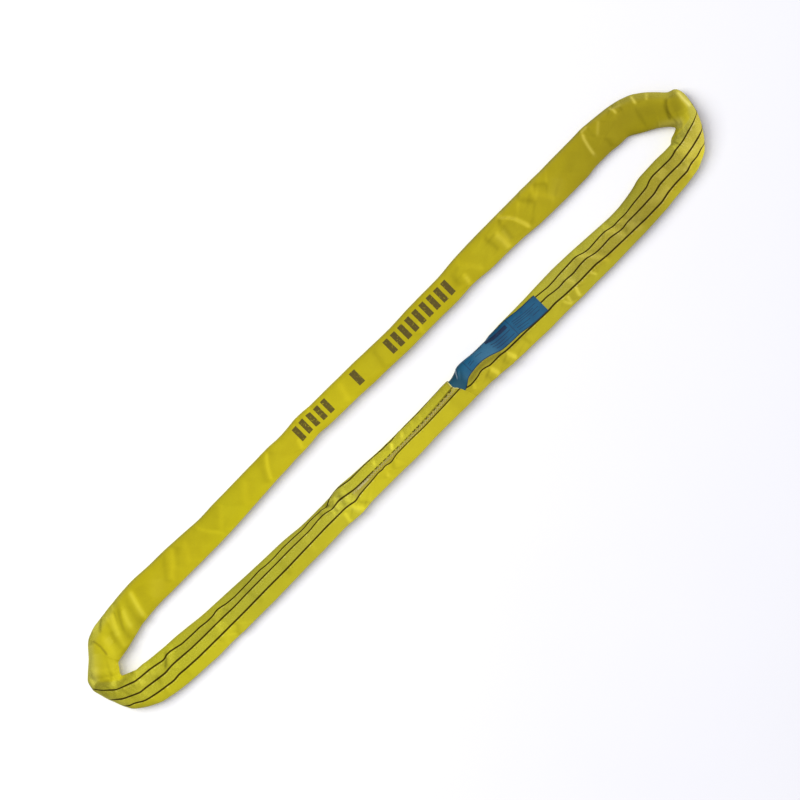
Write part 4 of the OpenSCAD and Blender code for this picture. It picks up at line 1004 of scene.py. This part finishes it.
def label_row(x):
    """A cross line of the label's underside: it follows the sleeve from the lower edge over the inner shoulder."""
    i = ring_at(max(x, 66.0), "tucked")
    q = np.where(frac[i] > 0.72, frac[i] - 1, frac[i])
    sel = np.nonzero((q > -0.22) & (q < 0.5))[0]
    sel = sel[np.argsort(-q[sel])]
    y, z = soft_skin[i, sel, 1].copy(), soft_skin[i, sel, 2].copy()
    ny, nz = nor[i, sel, 1], nor[i, sel, 2]
    top_y = np.interp(x, *zip(*LABEL_TOP)) + Y0
    low_y = np.interp(x, *zip(*LABEL_LOW)) + Y0
    lift = 0.75 + 2.6 * math.exp(-((x - 113.0) / 7.5) ** 2) + 0.5 * math.exp(-((x - 302) / 8.0) ** 2) - 0.25 * math.exp(-((x - 129.6) / 3.0) ** 2)
    lift += 0.5 * math.exp(-((x - 160.0) / 14.0) ** 2) + 0.5 * math.exp(-((x - 200.0) / 10.0) ** 2) - 0.25 * np.clip((x - 210) / 15, 0, 1)
    if x < 99:
        lift = 0.30 + (lift - 0.30) * np.clip((x - 93) / 6.0, 0, 1) if x > 93 else 0.30
    push = max(0.0, top_y - (y.max() + lift + 0.3)) if 100 < x < 300 else 0.0
    w = np.clip((y - (y.max() - 15.0)) / 13.0, 0, 1)
    w = np.where(np.arange(len(y)) > int(np.argmax(y)), 1.0, w * w * (3 - 2 * w))
    y = y + push * w + ny * lift
    z = z + nz * lift
    k = int(np.nonzero(y > low_y)[0][0])
    f = (low_y - y[k - 1]) / (y[k] - y[k - 1])
    py = np.concatenate([[low_y], y[k:]])
    pz = np.concatenate([[z[k - 1] + f * (z[k] - z[k - 1])], z[k:]])
    run = np.concatenate([[0], np.cumsum(np.hypot(np.diff(py), np.diff(pz)))])
    v = np.linspace(0, LABEL_W, M_ACROSS)
    return np.stack([np.full(M_ACROSS, x), np.interp(v, run, py), np.interp(v, run, pz)], -1)


label_x = np.concatenate([np.arange(76.0, LABEL_CUT, 1.505), [LABEL_CUT], np.arange(LABEL_CUT + 1.5, LABEL_END, 1.5), [LABEL_END]])
under = np.stack([label_row(x) for x in label_x])
under[..., 1] = smooth(under[..., 1], 1.6)
under[..., 2] = smooth(under[..., 2], 1.6)
# a slight waviness of the hanging edge and of the loose end
v_at = np.linspace(0, 1, M_ACROSS)[None, :]
wave = 0.9 * np.sin(label_x / 15.0 + 1.0)[:, None] * v_at ** 3 + 0.35 * np.sin(label_x / 6.5)[:, None] * (1 - v_at) ** 4
free = np.clip((label_x - 104) / 10, 0, 1)[:, None]
# the sharp diagonal fold where the strip turns up out of the lap
LABEL_FOLD = [(101.0, -52.0), (107.0, -47.0), (115.5, -36.0)]


def sheet_normals(p):
    ds, dv = np.gradient(p, axis=0), np.gradient(p, axis=1)
    n = np.cross(ds, dv)
    n /= np.linalg.norm(n, axis=-1, keepdims=True)
    return n if n[..., 2].sum() > 0 else -n


under += sheet_normals(under) * (wave * free * 0.7)[..., None]
for _ in range(3):  # nowhere into the sleeve
    for r in range(len(label_x)):
        for c in range(M_ACROSS):
            hit = tucked_tree.find_nearest(Vector(under[r, c]))
            out = Vector(nor[0, 0] * 0) if hit[0] is None else hit[1]
            if hit[0] is None:
                continue
            out = out if out.z > 0 or (out.y > 0 and under[r, c, 1] > -48) else -out
            depth = (Vector(under[r, c]) - hit[0]).dot(out)
            want = 0.12 if label_x[r] < 97 else 0.35
            if depth < want:
                under[r, c] += np.array(out) * (want - depth)
    under[..., 1] = smooth(under[..., 1], 0.7)
    under[..., 2] = smooth(under[..., 2], 0.7)
over_n = sheet_normals(under)
d, f, side = near(under[..., :2] - (0, Y0), LABEL_FOLD)
ridge = np.sin(np.pi * np.clip(f, 0.02, 0.98)) * (1.5 * np.exp(-(d / 2.3) ** 2) - 0.5 * np.exp(-((d - 4.5) / 2.5) ** 2))
under += over_n * ridge[..., None]
over_n = sheet_normals(under)
label_run = np.concatenate([[0], np.cumsum(np.linalg.norm(np.diff(under[:, M_ACROSS // 2], axis=0), axis=1))])


def label_piece(name, lo, hi):
    """A closed piece of the label strip between two rows."""
    a, n = under[lo:hi + 1], over_n[lo:hi + 1]
    t = np.where(label_x[lo:hi + 1] < 98, 0.42, LABEL_T)[:, None, None]
    R, C = a.shape[:2]
    verts = np.concatenate([(a + n * t).reshape(-1, 3), a.reshape(-1, 3)]) * MM
    idx = np.arange(R * C).reshape(R, C)
    faces, norms, uvs = [], [], []
    # the underside has its width coordinate below zero, so that it carries no print
    uv_of = lambda r, c, back: (label_run[lo + r] / 100.0, c / (C - 1) * LABEL_W / 100.0 * (-1 if back else 1))

    def add(corners, side):
        """Corners as (row, column, layer); the face is turned so that it looks along its own normals."""
        ids = [idx[r, c] + R * C * l for r, c, l in corners]
        flat = np.cross(verts[ids[1]] - verts[ids[0]], verts[ids[3]] - verts[ids[0]])
        want = [n[r, c] * (1 if l == 0 else -1) for r, c, l in corners] if side is None else [side] * 4
        if flat @ want[0] < 0:
            ids, want, corners = ids[::-1], want[::-1], corners[::-1]
        faces.append(ids)
        norms.extend(want)
        uvs.extend(uv_of(r, c, l == 1 and side is None) for r, c, l in corners)

    for r in range(R - 1):
        for c in range(C - 1):
            q = [(r, c), (r, c + 1), (r + 1, c + 1), (r + 1, c)]
            add([(*p, 0) for p in q], None)
            add([(*p, 1) for p in q], None)
    for r in range(R - 1):
        for c, s in ((0, -1.0), (C - 1, 1.0)):
            d = (a[r, c] - a[r, c - 1 if c else 1])
            d = d / np.linalg.norm(d)
            add([(r, c, 0), (r + 1, c, 0), (r + 1, c, 1), (r, c, 1)], d)
    for c in range(C - 1):
        for r, s in ((0, -1.0), (R - 1, 1.0)):
            add([(r, c, 0), (r, c + 1, 0), (r, c + 1, 1), (r, c, 1)], np.array([s, 0, 0]))
    return plain_mesh(name, verts, faces, norms, uvs)


cut_row = int(np.argmin(np.abs(label_x - LABEL_CUT)))
label_a = label_piece("label_strip", 0, cut_row)
label_b = label_piece("label_strip_end", cut_row, len(label_x) - 1)


def label_s(x):
    return float(np.interp(x, label_x, label_run))


def label_material():
    m = Nodes("label_cloth")
    uv = m.new("ShaderNodeUVMap", uv_map="strip").outputs[0]
    sep = m.new("ShaderNodeSeparateXYZ")
    m.put(sep.inputs[0], uv)
    s = m.math("MULTIPLY", sep.outputs[0], 100.0)
    v_face = m.math("MULTIPLY", sep.outputs[1], 100.0)
    v = m.math("ABSOLUTE", v_face)
    obj = m.new("ShaderNodeTexCoord").outputs["Object"]
    big = m.noise(obj, 18.0, 2.0)
    fine = m.noise(obj, 700.0, 2.0, 0.6)
    weave = m.math("MULTIPLY", m.math("SINE", m.math("MULTIPLY", s, 2 * math.pi / 0.8)), m.math("SINE", m.math("MULTIPLY", v, 2 * math.pi / 0.8)))
    c = m.mix(m.step(big, 0.35, 0.65), rgb(2, 71, 104), rgb(10, 89, 123))
    c = m.mix(m.step(s, label_s(96), label_s(136), 0.85, 0.0), c, rgb(24, 79, 94))
    mid_part = m.math("MULTIPLY", m.step(s, label_s(140), label_s(160)), m.step(s, label_s(176), label_s(204), 1.0, 0.0))
    c = m.mix(m.math("MULTIPLY", mid_part, 0.75), c, rgb(54, 110, 138))
    c = m.mix(m.math("MULTIPLY", m.step(fine, 0.4, 0.8), 0.25), c, rgb(10, 50, 90))

    def box(x0, x1, v0, v1, soft=0.35):
        a = m.math("MULTIPLY", m.step(s, label_s(x0) - soft, label_s(x0) + soft), m.step(s, label_s(x1) - soft, label_s(x1) + soft, 1.0, 0.0))
        b = m.math("MULTIPLY", m.step(v_face, v0 - soft, v0 + soft), m.step(v_face, v1 - soft, v1 + soft, 1.0, 0.0))
        return m.math("MULTIPLY", a, b)

    ink = None
    for x0, x1, v0, v1, k in LABEL_INK:
        g = m.math("MULTIPLY", box(x0, x1, v0, v1), k)
        ink = g if ink is None else m.math("MAXIMUM", ink, g)
    ink = m.math("MULTIPLY", ink, m.step(m.noise(obj, 300.0, 3.0, 0.6), 0.25, 0.5, 0.6, 1.0))
    c = m.mix(ink, c, rgb(8, 22, 56))
    # painted highlight: a pale band along the fold where the strip turns up out of the lap
    wx = m.math("SUBTRACT", s, m.math("MULTIPLY_ADD", m.math("SUBTRACT", v, 24.0), LEAN, label_s(104.5)))
    painted_highlight = m.math("MULTIPLY", m.step(m.math("ABSOLUTE", wx), 1.0, 3.6, 1.0, 0.0), m.math("MULTIPLY", m.step(v, 21.0, 25.0), m.step(v, 34.5, 37.0, 1.0, 0.0)))
    c = m.mix(m.math("MULTIPLY", painted_highlight, 0.9), c, rgb(158, 184, 198))
    # stitched cross lines, and selvedges darkened partly as painted shade along the edges
    for x0 in (129.6, 235.0):
        d = m.math("ABSOLUTE", m.math("SUBTRACT", s, label_s(x0)))
        dash = m.step(m.math("SINE", m.math("MULTIPLY", v, 2 * math.pi / 3.0)), -0.5, 0.1, 0.45, 1.0)
        c = m.mix(m.math("MULTIPLY", m.step(d, 0.5, 1.3, 1.0, 0.0), m.math("MULTIPLY", dash, 0.8)), c, rgb(20, 44, 74))
    # painted shade: both long edges darker, partly the selvedge's own colour
    edge = m.math("MINIMUM", v, m.math("SUBTRACT", LABEL_W, v))
    c = m.mix(m.step(edge, 0.7, 2.4, 0.8, 0.0), c, rgb(12, 28, 50))
    m.set(Base_Color=c, Roughness=m.math("MULTIPLY_ADD", fine, 0.12, 0.44),
          Normal=m.bump(m.math("ADD", m.math("MULTIPLY", weave, 0.05), m.math("MULTIPLY", fine, 0.08)), 0.001, 0.5))
    m.bsdf.inputs["Specular IOR Level"].default_value = 0.28
    m.bsdf.inputs["Sheen Weight"].default_value = 0.03
    m.bsdf.inputs["Sheen Roughness"].default_value = 0.4
    return m.mat


# generic print: ruled lines and one plain bar, as x0, x1, low, high, strength
LABEL_INK = [(181, 229, 23.5, 30.5, 0.85), (150, 172, 22.0, 25.2, 0.5), (186, 230, 17.4, 18.6, 0.85), (186, 218, 12.2, 13.4, 0.8),
             (190, 231, 7.0, 8.2, 0.8), (134, 146, 10.4, 11.5, 0.7), (134, 142, 14.3, 15.4, 0.7), (152, 166, 13.4, 14.5, 0.6),
             (241, 294, 25.3, 26.3, 0.75), (241, 286, 21.5, 22.5, 0.75), (241, 294, 17.7, 18.7, 0.7), (241, 270, 11.2, 12.5, 0.7),
             (276, 292, 11.2, 12.5, 0.65), (241, 262, 6.5, 7.5, 0.65)]
# the painted highlight's slant along the strip
LEAN = 0.82  # run of the pale crest along the strip for each mm across it
label_mat = label_material()
for ob, a, b, x0, x1, nodes in ((label_a, "legs", "label_lower", 93.0, 112.0, ("label_root", "label_lower")),
                                (label_b, "label_lower", "label_upper", 232.2, 241.0, ("label_upper",))):
    ob.data.materials.append(label_mat)
    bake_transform(ob)
    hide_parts(*nodes)


# ------------------------------------------------------------------ sewing threads of the closing seam
def stitches(name, runs, sides=6):
    """Stitches as short tubes: runs of [(x, y, rise, radius), ...] laid on the lap."""
    verts, faces = [], []
    for run in runs:
        pts, rad = [], []
        for x, y, rise, r in run:
            z, n = on_top(lap_tree, x, y + Y0)
            pts.append(np.array([x, y + Y0, z]) + np.array(n) * rise)
            rad.append(r)
        pts = np.array(pts)
        tan = np.gradient(pts, axis=0)
        tan /= np.linalg.norm(tan, axis=1, keepdims=True)
        start = len(verts)
        for p, t, r in zip(pts, tan, rad):
            w = np.cross(t, (0, 0, 1))
            w /= np.linalg.norm(w)
            h = np.cross(w, t)
            for k in range(sides):
                th = 2 * math.pi * k / sides
                verts.append((p + r * (w * math.cos(th) + h * math.sin(th))) * MM)
        for i in range(len(pts) - 1):
            for k in range(sides):
                a, b = start + i * sides + k, start + i * sides + (k + 1) % sides
                faces.append((a, b, b + sides, a + sides))
        faces.append([start + k for k in range(sides)][::-1])
        faces.append([start + (len(pts) - 1) * sides + k for k in range(sides)])
    return plain_mesh(name, verts, faces)


def sewn(x0, y0, x1, y1, r, top=0.35, n=5):
    """One stitch: it comes up out of the cloth, lies on it and goes down again."""
    f = np.linspace(0, 1, n)
    arch = np.sqrt(np.clip(1 - (2 * f - 1) ** 2, 0, 1))
    return [(x0 + (x1 - x0) * t, y0 + (y1 - y0) * t, -0.55 * r + (0.55 * r + top) * a, r * (0.7 + 0.3 * a)) for t, a in zip(f, arch)]


seam_y = lambda x: float(np.interp(x, [-176, -150, -100, -50, 0, 25, 50, 85], [-59, -59.3, -59.6, -60.4, -60.2, -59.2, -57.6, -55.6]))
rng = np.random.RandomState(7)
dark_runs = []
x = -166.0
while x < 80:
    bold = float(np.interp(x, [-170, -130, -118, -90, -62, -52, -26, -20, 30, 45, 84], [0.62, 0.70, 0.82, 0.70, 0.62, 0.42, 0.42, 0.80, 0.74, 0.84, 0.9]))
    y = seam_y(x)
    amp = 0.7 if not -24 < x < 38 else 1.25
    w = 3.7 + rng.uniform(-0.4, 0.4)
    dark_runs.append(sewn(x, y + amp, x + w, y - amp, bold))
    dark_runs.append(sewn(x + w - 0.3, y - amp, x + 2 * w - 0.6, y + amp, bold))
    x += 10.4 + rng.uniform(-0.7, 0.7)
light_runs = []
x = -172.0
side = 1
while x < 84:
    y = seam_y(x)
    light_runs.append(sewn(x, y - 3.2 + 2.0 * side, x + 2.7, y - 3.2 - 2.0 * side, 0.36, 0.3))
    side = -side
    x += 2.6
for x in np.arange(-161.0, -134.0, 1.0):  # bar tack at the lap's end
    y = seam_y(x)
    light_runs.append(sewn(x, y - 1.6, x + 0.6, y - 5.6, 0.42, 0.45))


def thread_material(name, c0, c1):
    m = Nodes(name)
    obj = m.new("ShaderNodeTexCoord").outputs["Object"]
    n = m.noise(obj, 900.0, 2.0, 0.6)
    m.set(Base_Color=m.mix(n, rgb(*c0), rgb(*c1)), Roughness=0.6, Normal=m.bump(m.noise(obj, 1600.0, 1.0), 0.0004, 0.5))
    m.bsdf.inputs["Specular IOR Level"].default_value = 0.2
    return m.mat


for name, runs, slot, node, c0, c1 in (("closing_seam_dark", dark_runs, "dark_thread", "seam_zigzag_thread", (50, 40, 8), (78, 66, 20)),
                                       ("closing_seam_light", light_runs, "light_thread", "seam_light_thread", (192, 180, 100), (220, 212, 158))):
    ob = stitches(name, runs)
    ob.data.materials.append(thread_material(slot, c0, c1))
    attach(ob, "legs")
    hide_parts(node)


# ------------------------------------------------------------------ yarn hank
def hank(name, rows):
    """The endless yarn hank inside the sleeve, as a ribbed bundle."""
    n = 48
    verts, faces = [], []
    run = 0.0
    for j, i in enumerate(rows):
        d = 1.4 + (2.6 if (ri[i] > i_right and X[i] < 104) else 0.0)
        a, b = (half_a[i] - d) * 0.8, (half_b[i] - d) * 0.75
        zc = d + 2.0 + b
        if j:
            run += float(np.hypot(*(mid[i] - mid[rows[j - 1]])))
        for k in range(n):
            th = 2 * math.pi * k / n
            rib = 0.95 + 0.05 * math.cos(12 * th + run / 26.0) - 0.012 * math.cos(30 * th - run / 15.0)
            l, z = a * rib * math.cos(th), zc + b * rib * math.sin(th)
            verts.append(((mid[i, 0] + across[i, 0] * l) * MM, (mid[i, 1] + across[i, 1] * l) * MM, z * MM))
    R = len(rows)
    for r in range(R - 1):
        for k in range(n):
            a, b = r * n + k, r * n + (k + 1) % n
            faces.append((a, b, b + n, a + n))
    faces.append([k for k in range(n)][::-1])
    faces.append([(R - 1) * n + k for k in range(n)])
    ob = plain_mesh(name, verts, faces)
    p, q = ob.data.polygons[0], Vector(verts[0])
    if p.normal.dot(Vector(p.center) - Vector((mid[rows[0], 0] * MM, mid[rows[0], 1] * MM, 0.012))) < 0:
        ob.data.flip_normals()
    return ob


yarn = Nodes("core_yarn")
tc = yarn.new("ShaderNodeTexCoord").outputs["Object"]
fibre = yarn.noise(tc, 260.0, 3.0, 0.6)
yarn.set(Base_Color=yarn.mix(fibre, rgb(206, 202, 188), rgb(232, 229, 216)), Roughness=0.7,
         Normal=yarn.bump(fibre, 0.001, 0.5))
core_left = hank("yarn_hank_left", list(range(CUT, ring_at(-201, "lap") - 1, -3)))
core_right = hank("yarn_hank_right", list(range(CUT, N, 3)))
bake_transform(core_left)
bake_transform(core_right)
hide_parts("core_legs", "core_left_eye")
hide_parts("core_right_eye")
for ob in (core_left, core_right):
    ob.data.materials.append(yarn.mat)

tape = Nodes("join_tape")
tc = tape.new("ShaderNodeTexCoord").outputs["Object"]
tape.set(Base_Color=tape.mix(tape.noise(tc, 40.0), rgb(226, 224, 214), rgb(240, 239, 232)), Roughness=0.45)
kept = bpy.data.objects["core_join_tape"]
kept.data.materials.clear()
kept.data.materials.append(tape.mat)

for light, wanted in ((key, lambda ob: ob != floor), (floor_light, lambda ob: ob == floor)):
    lit = bpy.data.collections.new("lit_by_" + light.name)
    for ob in scene.objects:
        if ob.type in ("MESH", "CURVE") and wanted(ob):
            lit.objects.link(ob)
    light.light_linking.receiver_collection = lit

bpy.context.view_layer.update()
